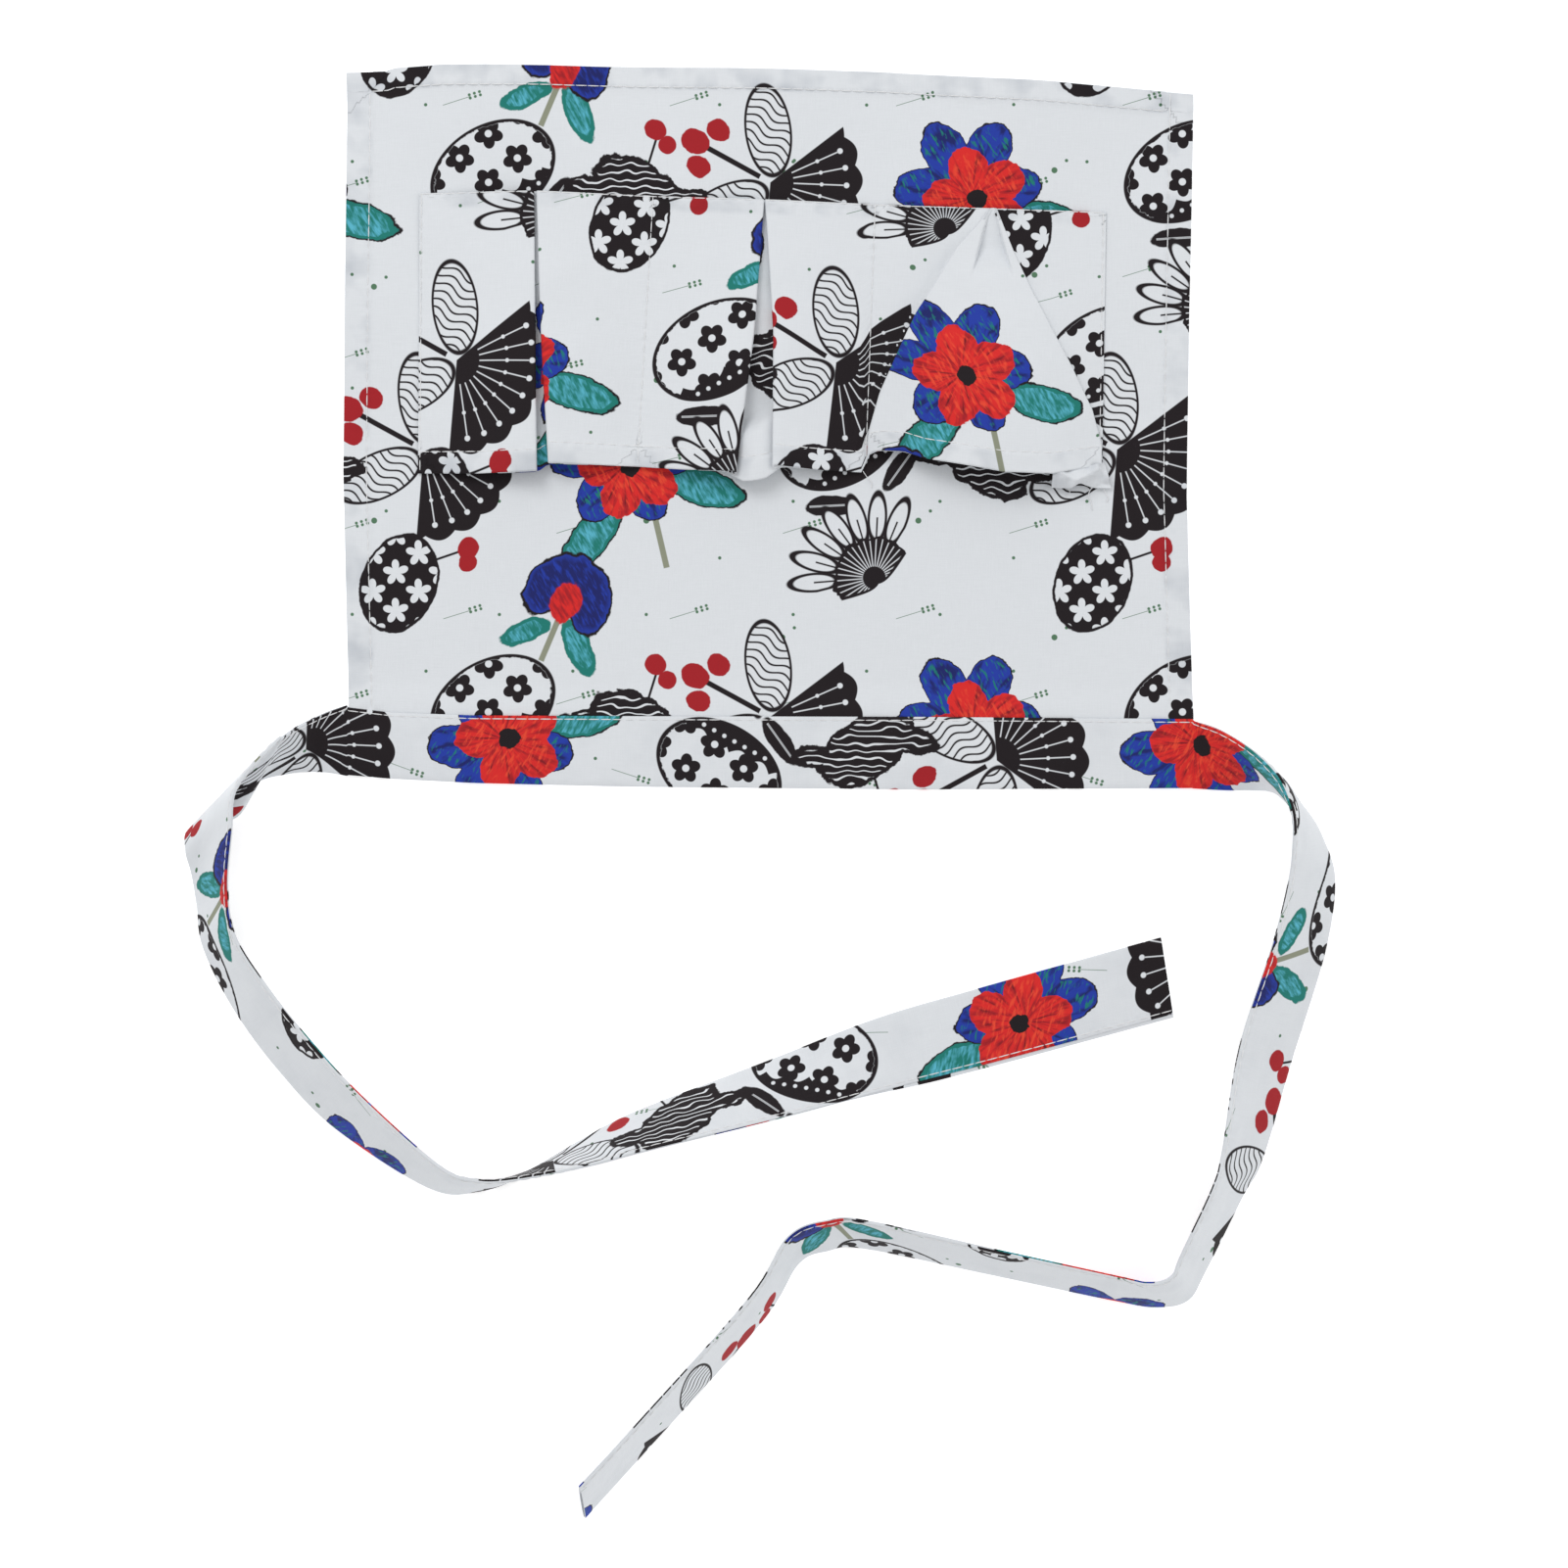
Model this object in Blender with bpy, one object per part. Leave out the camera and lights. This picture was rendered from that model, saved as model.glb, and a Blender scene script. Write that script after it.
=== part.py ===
"""Half apron with three pleated egg pockets, lying face up on a flat surface.

Metres, +Z up. Seen from above, +Y runs from the ties to the hem and +X to the right.
While it is modelled, x = 0 is the panel's middle and y = 0 is the waistband's seam.
At the end everything moves so that the origin is the middle of the box's bottom.
"""
import math

import bmesh
import bpy
from mathutils import Vector

# Cloth
CLOTH = 0.001
GAP = 0.0003
HEM_RISE = 0.0008

# Body panel
PANEL_WIDTH = 0.350
PANEL_HEIGHT = 0.263
HEM_SLANT = 0.009
HEM_BOW = 0.0055
SIDE_BOW = 0.0025
SIDE_HEM = 0.010
LOWER_HEM = 0.008
HEM_WAVE = 0.0022
HEM_WAVES = 3
RAMP_START = 0.003
RAMP_END = 0.014

# Waistband, a strip folded over the panel's upper edge
BAND_WIDTH = 0.030
BAND_TUCK = 0.010
BAND_FOLD_THICKNESS = 0.0024
BAND_OVERHANG = 0.0005

# Pocket strip
POCKETS = 3
POCKET_WIDTH = 0.095
POCKET_DEPTH = 0.112
POCKET_SET_IN = 0.049
POCKET_SHIFT = -0.004
POCKET_LIFT = 0.0075
PLEAT_DEPTH = 0.016
SEAM_SLOPE = 0.007

# Ties, the free ends of the folded strip
TIE_WIDTH = 0.031
TIE_THICKNESS = 0.002
LEFT_BOW = 0.066
LEFT_DROP = 0.196
LEFT_END_INSET = 0.012
RIGHT_BOW = 0.0585
RIGHT_DROP = 0.3325
RIGHT_RUN = 0.253

# The band's two edges: along is a share of the panel's width from its left side, and
# seam and fold are shares of the band's width, up from the seam line.
BAND_SECTIONS = [
    # along, seam, fold
    (0.00, 0.13, -0.80),
    (0.05, 0.06, -0.85),
    (0.15, 0.02, -0.91),
    (0.33, 0.01, -0.96),
    (0.67, 0.00, -1.00),
    (1.00, -0.03, -0.98),
]

# One row for each pocket's pleat. Places and gaps are shares of the pocket's width, at
# the sewn edge and at the mouth. A popped pleat comes forward as a flap, whose sides
# run from its apex to the pocket's two seams. The lift is a share of POCKET_LIFT.
PLEATS = [
    # popped, sewn place, mouth place, sewn gap, mouth gap, lift
    (False, 0.515, 0.550, 0.012, 0.043, 0.9),
    (False, 0.520, 0.500, 0.010, 0.120, 1.0),
    (True, 0.505, 0.510, 0.065, 0.975, 1.7),
]

# How far the mouth is drawn back from its straight line, as shares of the pocket's depth.
MOUTH_LINE = [
    # along the strip, drawn back
    (0.00, 0.000),
    (0.16, 0.000),
    (0.20, 0.026),
    (0.32, 0.020),
    (0.46, 0.004),
    (0.53, 0.020),
    (0.64, 0.004),
    (0.67, 0.066),
    (0.73, 0.040),
    (0.83, 0.000),
    (0.94, -0.008),
    (1.00, 0.025),
]

# The ties' routes. Each row places the folded edge and the stitched edge across from it.
# out is a share of the tie's bow past the panel's side, or where it is negative, a share
# of its run back under the apron. down is a share of its drop below the seam line. The
# other columns are in tie widths: lift is the folded edge's height, and right, up and
# rise lead from it to the stitched edge, which stands over it where the tie leans.
LEFT_ROUTE = [
    # out, down, lift, right, up, rise
    (0.00, 0.124, 0.00, 0.00, 0.94, 0.03),
    (0.17, 0.116, 0.00, 0.10, 0.78, 0.25),
    (0.36, 0.119, 0.00, 0.18, 0.62, 0.52),
    (0.58, 0.141, 0.00, 0.41, 0.58, 0.62),
    (0.70, 0.212, 0.00, 0.68, 1.03, 0.66),
    (0.98, 0.238, 0.06, 1.24, 1.18, 0.66),
    (1.00, 0.282, 0.18, 0.78, 0.86, 0.68),
    (0.97, 0.333, 0.06, 0.64, 0.58, 0.82),
    (0.94, 0.400, 0.00, 0.52, 0.26, 0.86),
    (0.90, 0.490, 0.00, 0.54, 0.18, 0.84),
    (0.70, 0.624, 0.00, 0.54, 0.35, 0.80),
    (0.41, 0.755, 0.00, 0.48, 0.48, 0.80),
    (0.07, 0.871, 0.00, 0.43, 0.49, 0.84),
    (-0.10, 0.996, 0.00, 0.21, 0.38, 0.92),
    (-0.16, 1.004, 0.00, 0.05, 0.24, 0.97),
    (-0.22, 0.967, 0.00, -0.07, 0.02, 0.98),
    (-0.29, 0.896, 0.00, 0.10, -0.26, 0.94),
    (-0.36, 0.834, 0.00, 0.15, -0.45, 0.86),
    (-0.52, 0.728, 0.00, 0.21, -0.70, 0.60),
    (-0.65, 0.640, 0.00, 0.23, -0.91, 0.20),
    (-0.78, 0.574, 0.00, 0.22, -0.98, 0.00),
    (-1.00, 0.468, 0.00, 0.16, -1.02, 0.00),
]
RIGHT_ROUTE = [
    # out, down, lift, right, up, rise
    (0.00, 0.089, 0.00, 0.00, 0.90, 0.03),
    (0.22, 0.091, 0.00, -0.09, 0.79, 0.38),
    (0.42, 0.091, 0.00, -0.10, 0.53, 0.70),
    (0.56, 0.092, 0.00, -0.09, 0.25, 0.92),
    (0.67, 0.099, 0.00, -0.16, 0.08, 0.97),
    (0.81, 0.120, 0.00, -0.32, -0.02, 0.94),
    (0.92, 0.154, 0.00, -0.51, -0.03, 0.86),
    (1.00, 0.205, 0.00, -0.70, 0.03, 0.72),
    (0.93, 0.294, 0.00, -0.77, 0.14, 0.64),
    (0.69, 0.431, 0.00, -0.76, 0.23, 0.62),
    (0.49, 0.550, 0.00, -0.62, 0.15, 0.76),
    (0.34, 0.600, 0.00, -0.48, 0.20, 0.85),
    (0.08, 0.692, 0.00, -0.40, 0.32, 0.86),
    (-0.01, 0.728, 0.00, -0.30, 0.42, 0.86),
    (-0.06, 0.736, 0.00, -0.18, 0.42, 0.89),
    (-0.13, 0.728, 0.00, -0.05, 0.42, 0.90),
    (-0.33, 0.696, 0.00, 0.02, 0.42, 0.90),
    (-0.54, 0.663, 0.00, 0.01, 0.45, 0.89),
    (-0.60, 0.666, 0.00, 0.00, 0.49, 0.87),
    (-0.65, 0.683, 0.00, -0.12, 0.46, 0.88),
    (-0.71, 0.755, 0.00, -0.14, 0.43, 0.89),
    (-0.90, 0.916, 0.00, -0.10, 0.46, 0.88),
    (-1.00, 1.000, 0.00, -0.02, 0.56, 0.86),
]

# A tie's thickness across it, as shares of its full thickness.
TIE_PROFILE = [
    # across, thickness
    (0.00, 0.55),
    (0.06, 1.00),
    (0.35, 0.90),
    (0.65, 0.85),
    (0.93, 0.90),
    (1.00, 0.60),
]

# Levels of the pocket's layers above the seam line
PANEL_LIFT = CLOTH + GAP
LAYER_STEP = CLOTH + GAP
LOW = CLOTH + GAP + CLOTH / 2
MIDDLE = LOW + LAYER_STEP
HIGH = MIDDLE + LAYER_STEP
ROW_SHARES = [0.0, 0.1, 0.25, 0.42, 0.6, 0.77, 0.9, 1.0]
ROUTE_STEPS = 4


def smooth(share):
    """Ease from 0 to 1."""
    share = min(1.0, max(0.0, share))
    return share * share * (3 - 2 * share)


def from_table(table, place, column):
    """Read one column of a table at a place between its rows."""
    for low, high in zip(table, table[1:]):
        if place <= high[0]:
            share = (place - low[0]) / (high[0] - low[0])
            return low[column] + (high[column] - low[column]) * max(0.0, share)
    return table[-1][column]


def panel_edge(x):
    """The hem's height above the seam line: a slanted line that bows out in the middle."""
    share = x / PANEL_WIDTH
    return PANEL_HEIGHT - HEM_SLANT * share + HEM_BOW * (1 - 4 * share * share)


def side_shift(y):
    """Both sides of the apron lie in the same shallow curve."""
    return -SIDE_BOW * math.sin(math.pi * min(1.0, max(0.0, y / PANEL_HEIGHT)))


def band_seam(x):
    return BAND_WIDTH * from_table(BAND_SECTIONS, x / PANEL_WIDTH + 0.5, 1)


def band_fold(x):
    return BAND_WIDTH * from_table(BAND_SECTIONS, x / PANEL_WIDTH + 0.5, 2)


def cloth_material(name, color, roughness):
    material = bpy.data.materials.new(name)
    material.use_nodes = True
    shader = material.node_tree.nodes["Principled BSDF"]
    shader.inputs["Base Color"].default_value = (*color, 1)
    shader.inputs["Roughness"].default_value = roughness
    shader.inputs["Metallic"].default_value = 0
    return material


def add_piece(name, parent, rings, material):
    """Make one closed solid from rings of points, joined ring to ring and capped."""
    mesh = bmesh.new()
    loops = [[mesh.verts.new(point) for point in ring] for ring in rings]
    for near, far in zip(loops, loops[1:]):
        for i in range(len(near)):
            j = (i + 1) % len(near)
            mesh.faces.new((near[i], near[j], far[j], far[i]))
    half = len(loops[0]) // 2
    for loop in (loops[0], loops[-1]):
        for i in range(half - 1):
            mesh.faces.new((loop[i], loop[i + 1], loop[-2 - i], loop[-1 - i]))
    bmesh.ops.recalc_face_normals(mesh, faces=mesh.faces)
    data = bpy.data.meshes.new(name)
    mesh.to_mesh(data)
    mesh.free()
    piece = bpy.data.objects.new(name, data)
    piece.parent = parent
    data.materials.append(material)
    data.shade_smooth()
    data.set_sharp_from_angle(angle=math.radians(40))
    bpy.context.scene.collection.objects.link(piece)
    return piece


def spread(low, high, count):
    return [low + (high - low) * i / count for i in range(count + 1)]


def body_panel(parent):
    """The hemmed cloth, whose upper edge rises into the waistband."""
    step = HEM_RISE / 2
    half = PANEL_WIDTH / 2
    inner = half - SIDE_HEM
    columns = [-half] + spread(-inner - step, -inner + step, 1)
    columns += spread(-inner, inner, 12)[1:-1]
    columns += spread(inner - step, inner + step, 1) + [half]

    def rows(x):
        top, seam = panel_edge(x), band_seam(x)
        hem = top - LOWER_HEM
        middle = spread(seam + RAMP_END, hem - step, 8)
        return [-BAND_TUCK, seam, seam + RAMP_START, *middle, hem + step, top]

    def heights(x, y, side, lower):
        """The lower and upper surface at one point."""
        rise = smooth(1 - (y - band_seam(x) - RAMP_START) / (RAMP_END - RAMP_START))
        share = x / PANEL_WIDTH + 0.5
        wave = 0.5 - 0.5 * math.cos(2 * math.pi * HEM_WAVES * share)
        start = PANEL_HEIGHT - POCKET_SET_IN
        lift = HEM_WAVE * wave * smooth((y - start) / POCKET_SET_IN)
        hem = HEM_RISE * (1 - rise) if side or lower else 0.0
        base = PANEL_LIFT * rise + lift
        return base, base + CLOTH + hem

    rings = []
    for x in columns:
        side = abs(x) > inner
        under, over = [], []
        row_list = rows(x)
        for i, y in enumerate(row_list):
            low, high = heights(x, y, side, i >= len(row_list) - 2)
            place = x + side_shift(y)
            under.append(Vector((place, y, low)))
            over.append(Vector((place, y, high)))
        rings.append(under + over[::-1])
    return add_piece("body_panel", parent, rings, cloth_material("panel", (0.72, 0.75, 0.78), 0.85))


def waistband(parent):
    """A folded strip with the panel's upper edge between its two layers."""
    total = 3 * CLOTH + 2 * GAP
    slot_low, slot_high = CLOTH, total - CLOTH
    slot_end = -BAND_TUCK - GAP
    turn = BAND_FOLD_THICKNESS / 2
    half = PANEL_WIDTH / 2 + BAND_OVERHANG
    rings = []
    for x in spread(-half, half, 14):
        seam, fold = band_seam(x), band_fold(x)
        outside = [(seam, 0.0), (slot_end, 0.0)]
        for i in range(5):
            angle = math.pi * i / 4
            outside.append((fold + turn * (1 - math.sin(angle)), turn * (1 - math.cos(angle))))
        outside += [(slot_end, total), (seam, total)]
        inside = [(seam, slot_low)]
        inside += [(slot_end, level) for level in spread(slot_low, slot_high, 6)]
        inside += [(seam, slot_high)]
        rings.append([Vector((x, y, z)) for y, z in outside + inside[::-1]])
    return add_piece("waistband", parent, rings, cloth_material("band", (0.72, 0.75, 0.78), 0.85))


def turn_points(x, level_from, level_to, side):
    """A fold seen end on: a half circle between two levels, bulging to one side."""
    radius = abs(level_to - level_from) / 2
    centre = (level_from + level_to) / 2
    direction = 1 if level_to > level_from else -1
    points = []
    for i in range(4):
        angle = math.pi * i / 3
        x_out = side * (math.sin(angle) - 1) * radius
        points.append((x + x_out, centre - direction * math.cos(angle) * radius))
    return points


def run_points(x_from, x_to, level_from, level_to, count):
    """Points strictly between two ends, easing from one level to the other."""
    points = []
    for i in range(1, count + 1):
        share = i / (count + 1)
        level = level_from + (level_to - level_from) * smooth(share)
        points.append((x_from + (x_to - x_from) * share, level))
    return points


def pocket_section(start, end, pleat, share):
    """One pocket's cloth as (x, level) points, from its left seam to its right one."""
    popped, sewn_place, mouth_place, sewn_gap, mouth_gap, _ = pleat
    width = end - start
    place = start + width * (sewn_place + (mouth_place - sewn_place) * share)
    gap = width * (sewn_gap + (mouth_gap - sewn_gap) * share) / 2
    left, right = place - gap, place + gap
    radius = LAYER_STEP / 2
    slope = SEAM_SLOPE
    points = [(start, LOW)]
    if popped:
        left, right = max(left, start + radius), min(right, end - radius)
        depth = min(PLEAT_DEPTH, gap * 0.75)
        points += run_points(start, left + depth, LOW, LOW, 2)
        points += turn_points(left + depth, LOW, MIDDLE, 1)
        points += run_points(left + depth, left, MIDDLE, MIDDLE, 1)
        points += turn_points(left, MIDDLE, HIGH, -1)
        points += run_points(left, right, HIGH, HIGH, 9)
        points += turn_points(right, HIGH, MIDDLE, 1)
        points += run_points(right, right - depth, MIDDLE, MIDDLE, 1)
        points += turn_points(right - depth, MIDDLE, LOW, -1)
        points += run_points(right - depth, end, LOW, LOW, 2)
        return points
    depth = PLEAT_DEPTH
    points += run_points(start, start + slope, LOW, HIGH, 2)
    points += [(start + slope, HIGH)] + run_points(start + slope, left, HIGH, HIGH, 2)
    points += turn_points(left, HIGH, MIDDLE, 1)
    points += run_points(left, left - depth, MIDDLE, MIDDLE, 1)
    points += turn_points(left - depth, MIDDLE, LOW, -1)
    points += run_points(left - depth, right + depth, LOW, LOW, 3)
    points += turn_points(right + depth, LOW, MIDDLE, 1)
    points += run_points(right + depth, right, MIDDLE, MIDDLE, 1)
    points += turn_points(right, MIDDLE, HIGH, -1)
    points += run_points(right, end - slope, HIGH, HIGH, 2) + [(end - slope, HIGH)]
    points += run_points(end - slope, end, HIGH, LOW, 2)
    return points


def walls_of(points, thickness):
    """Offset a line of (x, level) points to both sides by half a thickness."""
    over, under = [], []
    for i, (x, level) in enumerate(points):
        before, after = points[max(i - 1, 0)], points[min(i + 1, len(points) - 1)]
        along = Vector((after[0] - before[0], after[1] - before[1])).normalized()
        over.append((x - along.y * thickness / 2, level + along.x * thickness / 2))
        under.append((x + along.y * thickness / 2, level - along.x * thickness / 2))
    return over, under


def pocket_strip(parent):
    """One strip of cloth that makes all the pockets, with a pleat in each."""
    strip = POCKETS * POCKET_WIDTH
    first = POCKET_SHIFT - strip / 2

    def lift(x, share):
        """How far the pocket stands open at one place."""
        along = (x - first) / POCKET_WIDTH
        index = min(POCKETS - 1, max(0, int(along)))
        across = min(1.0, max(0.0, along - index))
        height = POCKET_LIFT * PLEATS[index % len(PLEATS)][5]
        return height * math.sin(math.pi * across) ** 1.2 * smooth(share * 1.25)

    def place(x, level, share):
        along = (x - first) / strip
        sewn = PANEL_HEIGHT - HEM_SLANT * x / PANEL_WIDTH - POCKET_SET_IN
        drawn = from_table(MOUTH_LINE, along, 1) * smooth(share * 2 - 1)
        mouth = PANEL_HEIGHT - POCKET_SET_IN - POCKET_DEPTH * (1 - drawn)
        y = sewn + (mouth - sewn) * share
        return Vector((x + side_shift(y), y, level + lift(x, share)))

    rings = []
    for share in ROW_SHARES:
        points = []
        for index in range(POCKETS):
            start = first + index * POCKET_WIDTH
            pleat = PLEATS[index % len(PLEATS)]
            points += pocket_section(start, start + POCKET_WIDTH, pleat, share)
        points.append((first + strip, LOW))
        over, under = walls_of(points, CLOTH)
        ring = [place(x, level, share) for x, level in over]
        ring += [place(x, level, share) for x, level in reversed(under)]
        rings.append(ring)
    return add_piece("pocket_strip", parent, rings, cloth_material("pocket", (0.74, 0.77, 0.80), 0.85))


def curve_between(before, start, end, after, share):
    """A smooth curve through rows of numbers, read between two of them."""
    eased = smooth(share)
    leave = share * (1 - share) ** 2 / 2
    arrive = share * share * (share - 1) / 2
    return [
        b + (c - b) * eased + (c - a) * leave + (d - b) * arrive
        for a, b, c, d in zip(before, start, end, after)
    ]


def edges_of(route, root, side, bow, run, drop):
    """The folded and the stitched edge of a tie, as two lists of points."""
    stations = []
    for out, down, lift, right, up, rise in route:
        reach = bow if out > 0 else run
        folded = Vector((root + side * out * reach, -down * drop, lift * TIE_WIDTH + TIE_THICKNESS / 2))
        stations.append((*folded, *(folded + TIE_WIDTH * Vector((right, up, rise)))))
    dense = []
    last = len(stations) - 1
    for i in range(last):
        four = [stations[max(i - 1, 0)], stations[i], stations[i + 1], stations[min(i + 2, last)]]
        dense += [curve_between(*four, step / ROUTE_STEPS) for step in range(ROUTE_STEPS)]
    dense.append(stations[-1])
    return [Vector(row[:3]) for row in dense], [Vector(row[3:]) for row in dense]


def tie(name, parent, folded, stitched):
    """A flat double strip between its two edges."""
    rings = []
    last = len(folded) - 1
    for i in range(last + 1):
        across = stitched[i] - folded[i]
        before, after = max(i - 1, 0), min(i + 1, last)
        along = (folded[after] + stitched[after]) - (folded[before] + stitched[before])
        if i == 0:
            along = Vector((along.x, 0, 0))
        normal = along.cross(across).normalized()
        over, under = [], []
        for place, thickness in TIE_PROFILE:
            offset = normal * TIE_THICKNESS * thickness / 2
            over.append(folded[i] + across * place + offset)
            under.append(folded[i] + across * place - offset)
        lift = max(0.0, folded[i].z - TIE_THICKNESS / 2)
        drop = Vector((0, 0, min(point.z for point in over + under) - lift))
        rings.append([point - drop for point in over + under[::-1]])
    return add_piece(name, parent, rings, cloth_material(name, (0.72, 0.75, 0.78), 0.85))


def ties(parent):
    half = PANEL_WIDTH / 2 + BAND_OVERHANG + GAP
    left = edges_of(LEFT_ROUTE, -half, -1, LEFT_BOW, PANEL_WIDTH - LEFT_END_INSET, LEFT_DROP)
    right = edges_of(RIGHT_ROUTE, half, 1, RIGHT_BOW, RIGHT_RUN, RIGHT_DROP)
    return [tie("tie_left", parent, *left), tie("tie_right", parent, *right)]


def stand_on_origin(parent, pieces):
    """Move the apron so that the origin is the middle of its box's bottom."""
    corners = [vertex.co for piece in pieces for vertex in piece.data.vertices]
    low = [min(corner[i] for corner in corners) for i in range(3)]
    high = [max(corner[i] for corner in corners) for i in range(3)]
    parent.location = (-(low[0] + high[0]) / 2, -(low[1] + high[1]) / 2, -low[2])


def main():
    for old in list(bpy.data.objects):
        bpy.data.objects.remove(old, do_unlink=True)
    apron = bpy.data.objects.new("apron", None)
    bpy.context.scene.collection.objects.link(apron)
    pieces = [body_panel(apron), pocket_strip(apron), waistband(apron), *ties(apron)]
    stand_on_origin(apron, pieces)


main()
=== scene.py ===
"""Looks of the egg gathering apron: printed cloth, pleated pockets, folded ties and thread.

Everything is placed in the CAD frame, in metres. Points that were measured on the
photograph are written in its pixels and turned into metres by photo_point.
"""
import math
import random

import bpy
import numpy as np
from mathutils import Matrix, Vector


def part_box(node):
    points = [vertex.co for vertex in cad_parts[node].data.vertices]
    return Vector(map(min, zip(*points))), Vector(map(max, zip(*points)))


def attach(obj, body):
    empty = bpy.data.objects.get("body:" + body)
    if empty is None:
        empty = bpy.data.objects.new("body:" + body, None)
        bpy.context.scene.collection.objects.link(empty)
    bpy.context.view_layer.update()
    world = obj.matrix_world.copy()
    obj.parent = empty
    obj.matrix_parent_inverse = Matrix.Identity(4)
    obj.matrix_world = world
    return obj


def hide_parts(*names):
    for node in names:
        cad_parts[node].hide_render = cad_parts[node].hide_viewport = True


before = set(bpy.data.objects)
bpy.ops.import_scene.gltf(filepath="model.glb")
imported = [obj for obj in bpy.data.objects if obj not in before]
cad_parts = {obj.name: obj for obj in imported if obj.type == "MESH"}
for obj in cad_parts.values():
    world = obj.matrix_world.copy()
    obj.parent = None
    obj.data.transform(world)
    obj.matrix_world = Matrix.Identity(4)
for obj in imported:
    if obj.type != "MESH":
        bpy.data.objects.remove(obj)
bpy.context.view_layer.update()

# Frame: x = 0 is the panel's middle and y = 0 the waistband's seam, as in the CAD source
PIXEL = 0.000407
PHOTO_MIDDLE = 786.5
PHOTO_SEAM = 732.0
PHOTO_CENTRE = (800.5, 800.5)
PANEL_WIDTH = 0.350
BAND_WIDTH = 0.030
TIE_WIDTH = 0.031
TIE_THICKNESS = 0.002
LEFT_BOW, LEFT_DROP, LEFT_RUN = 0.066, 0.196, 0.338
RIGHT_BOW, RIGHT_DROP, RIGHT_RUN = 0.0585, 0.3325, 0.253
POCKET_WIDTH = 0.095
POCKET_DEPTH = 0.112
POCKET_LIFT = 0.0075
LIFT_SHARES = (0.9, 1.0, 1.7)
PLEAT_DEPTH = 0.016

# Cloth, and the turned hems with the distance of their stitches from the edge
THICK = 0.0004
HEM_GAP, POCKET_HEM_GAP = 0.0005, 0.00045
BAND_OVERLAP = 0.0098
SIDE_HEM, SIDE_STITCH = 0.0098, 0.0091
LOW_HEM, HEM_STITCH = 0.0081, 0.0079
MOUTH_HEM, MOUTH_STITCH = 0.0078, 0.0081
SEWN_HEM, SEWN_STITCH = 0.006, 0.0022
HEM_SOFT = 0.0012
HEM_WAVES, HEM_WAVE_LIFT = 3, 0.0022
WAVES_FROM, WAVES_LENGTH = 0.214, 0.049

# The body cloth's height on the floor, and its step up onto the band
BODY_FLOOR = 0.00075
STEP_FROM, STEP_LENGTH, STEP_RISE = 0.003, 0.011, 0.0011

# Steps of the grids over the cloth, as (from, to, count)
BODY_ROWS = ((0, 0.966, 132), (0.969, 1, 8))
BODY_COLUMNS = ((0, 0.034, 11), (0.04, 0.96, 150), (0.966, 1, 11))
SIDE_HEM_SHARE = 0.028
POCKET_STEPS = ((0, 0.1, 6), (0.12, 0.9, 40), (0.915, 1.0, 9))
SIDE_LINE_STEPS = (0.004, 0.262, 130)
HEM_LINE_STEPS = (-0.1655, 0.1655, 140)

# Stitches: each takes a share of the pitch, stands up in an arch and sinks in at its ends
STITCH_PITCH = 0.005
STITCH_ENDS = (0.04, 0.96)
STITCH_ARCH = 0.00026
STITCH_SINK = 0.00012
STITCH_RADIUS = 0.00024
LOOSE_RADIUS = 0.00016
FAR = 50  # a distance from stitches, in millimetres, at which nothing of them shows

# Pleats: the heights of the lower and the upper layer, the length of a fold's turn, and
# the share of the pocket's depth at which the mouth's hem begins
LOW, HIGH = 0.0018, 0.0044
FOLD_RUN = 0.0006
HEM_FROM = 0.928
SEAM_SPAN = 96  # about the millimetres from seam to seam

# The twisted cloth under the second pleat, in photo pixels, a share of the depth and metres
TWIST_MIDDLE, TWIST_HALF = 771.0, 22
TWIST_CREASE = 0.8
TWIST_DROP = 0.005

# The recess at the third pleat's apex and the valley beside it
RECESS_DEPTH, RECESS_WALL = 0.0038, 0.0006
VALLEY_DEPTH, VALLEY_WIDTH = 0.0022, 0.021

# The folded strip: its gap, its roundness, and the neck where the right tie twists
STRIP_GAP = 0.00052
BAND_ROOM = 0.00068
STRIP_CROWN = 0.0004
STRIP_STITCH = 0.0019
TURNED_IN = (0.0058, 0.003, 0.0006)
SEAM_RADIUS = 0.00021
FOLD_BULGE = 0.0006
NECK_CROWN, NECK_PLACE, NECK_LENGTH = 0.0021, 0.040, 0.012
BACK_PEEK = 0.0018
SEAM_COLUMN = 8
PROFILE_SHARES = (0.975, 0.95, 0.9, 0.82, 0.74, 0.66, 0.58, 0.5, 0.42, 0.34, 0.26, 0.18, 0.11, 0.06)

# Camera and lamps
EYE_HEIGHT = 1.6
LENS = 88.4
LAMPS = [
    # name, place, size, power
    ("key", (-0.7, 1.15, 1.5), 0.9, 12.0),
    ("fill", (1.3, -0.1, 1.2), 1.4, 4.6),
]

LOW_CORNER, HIGH_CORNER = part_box("waistband")
OFFSET = np.array([(LOW_CORNER[0] + HIGH_CORNER[0]) / 2, HIGH_CORNER[1] - BAND_WIDTH * 0.13, 0.0])

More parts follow.
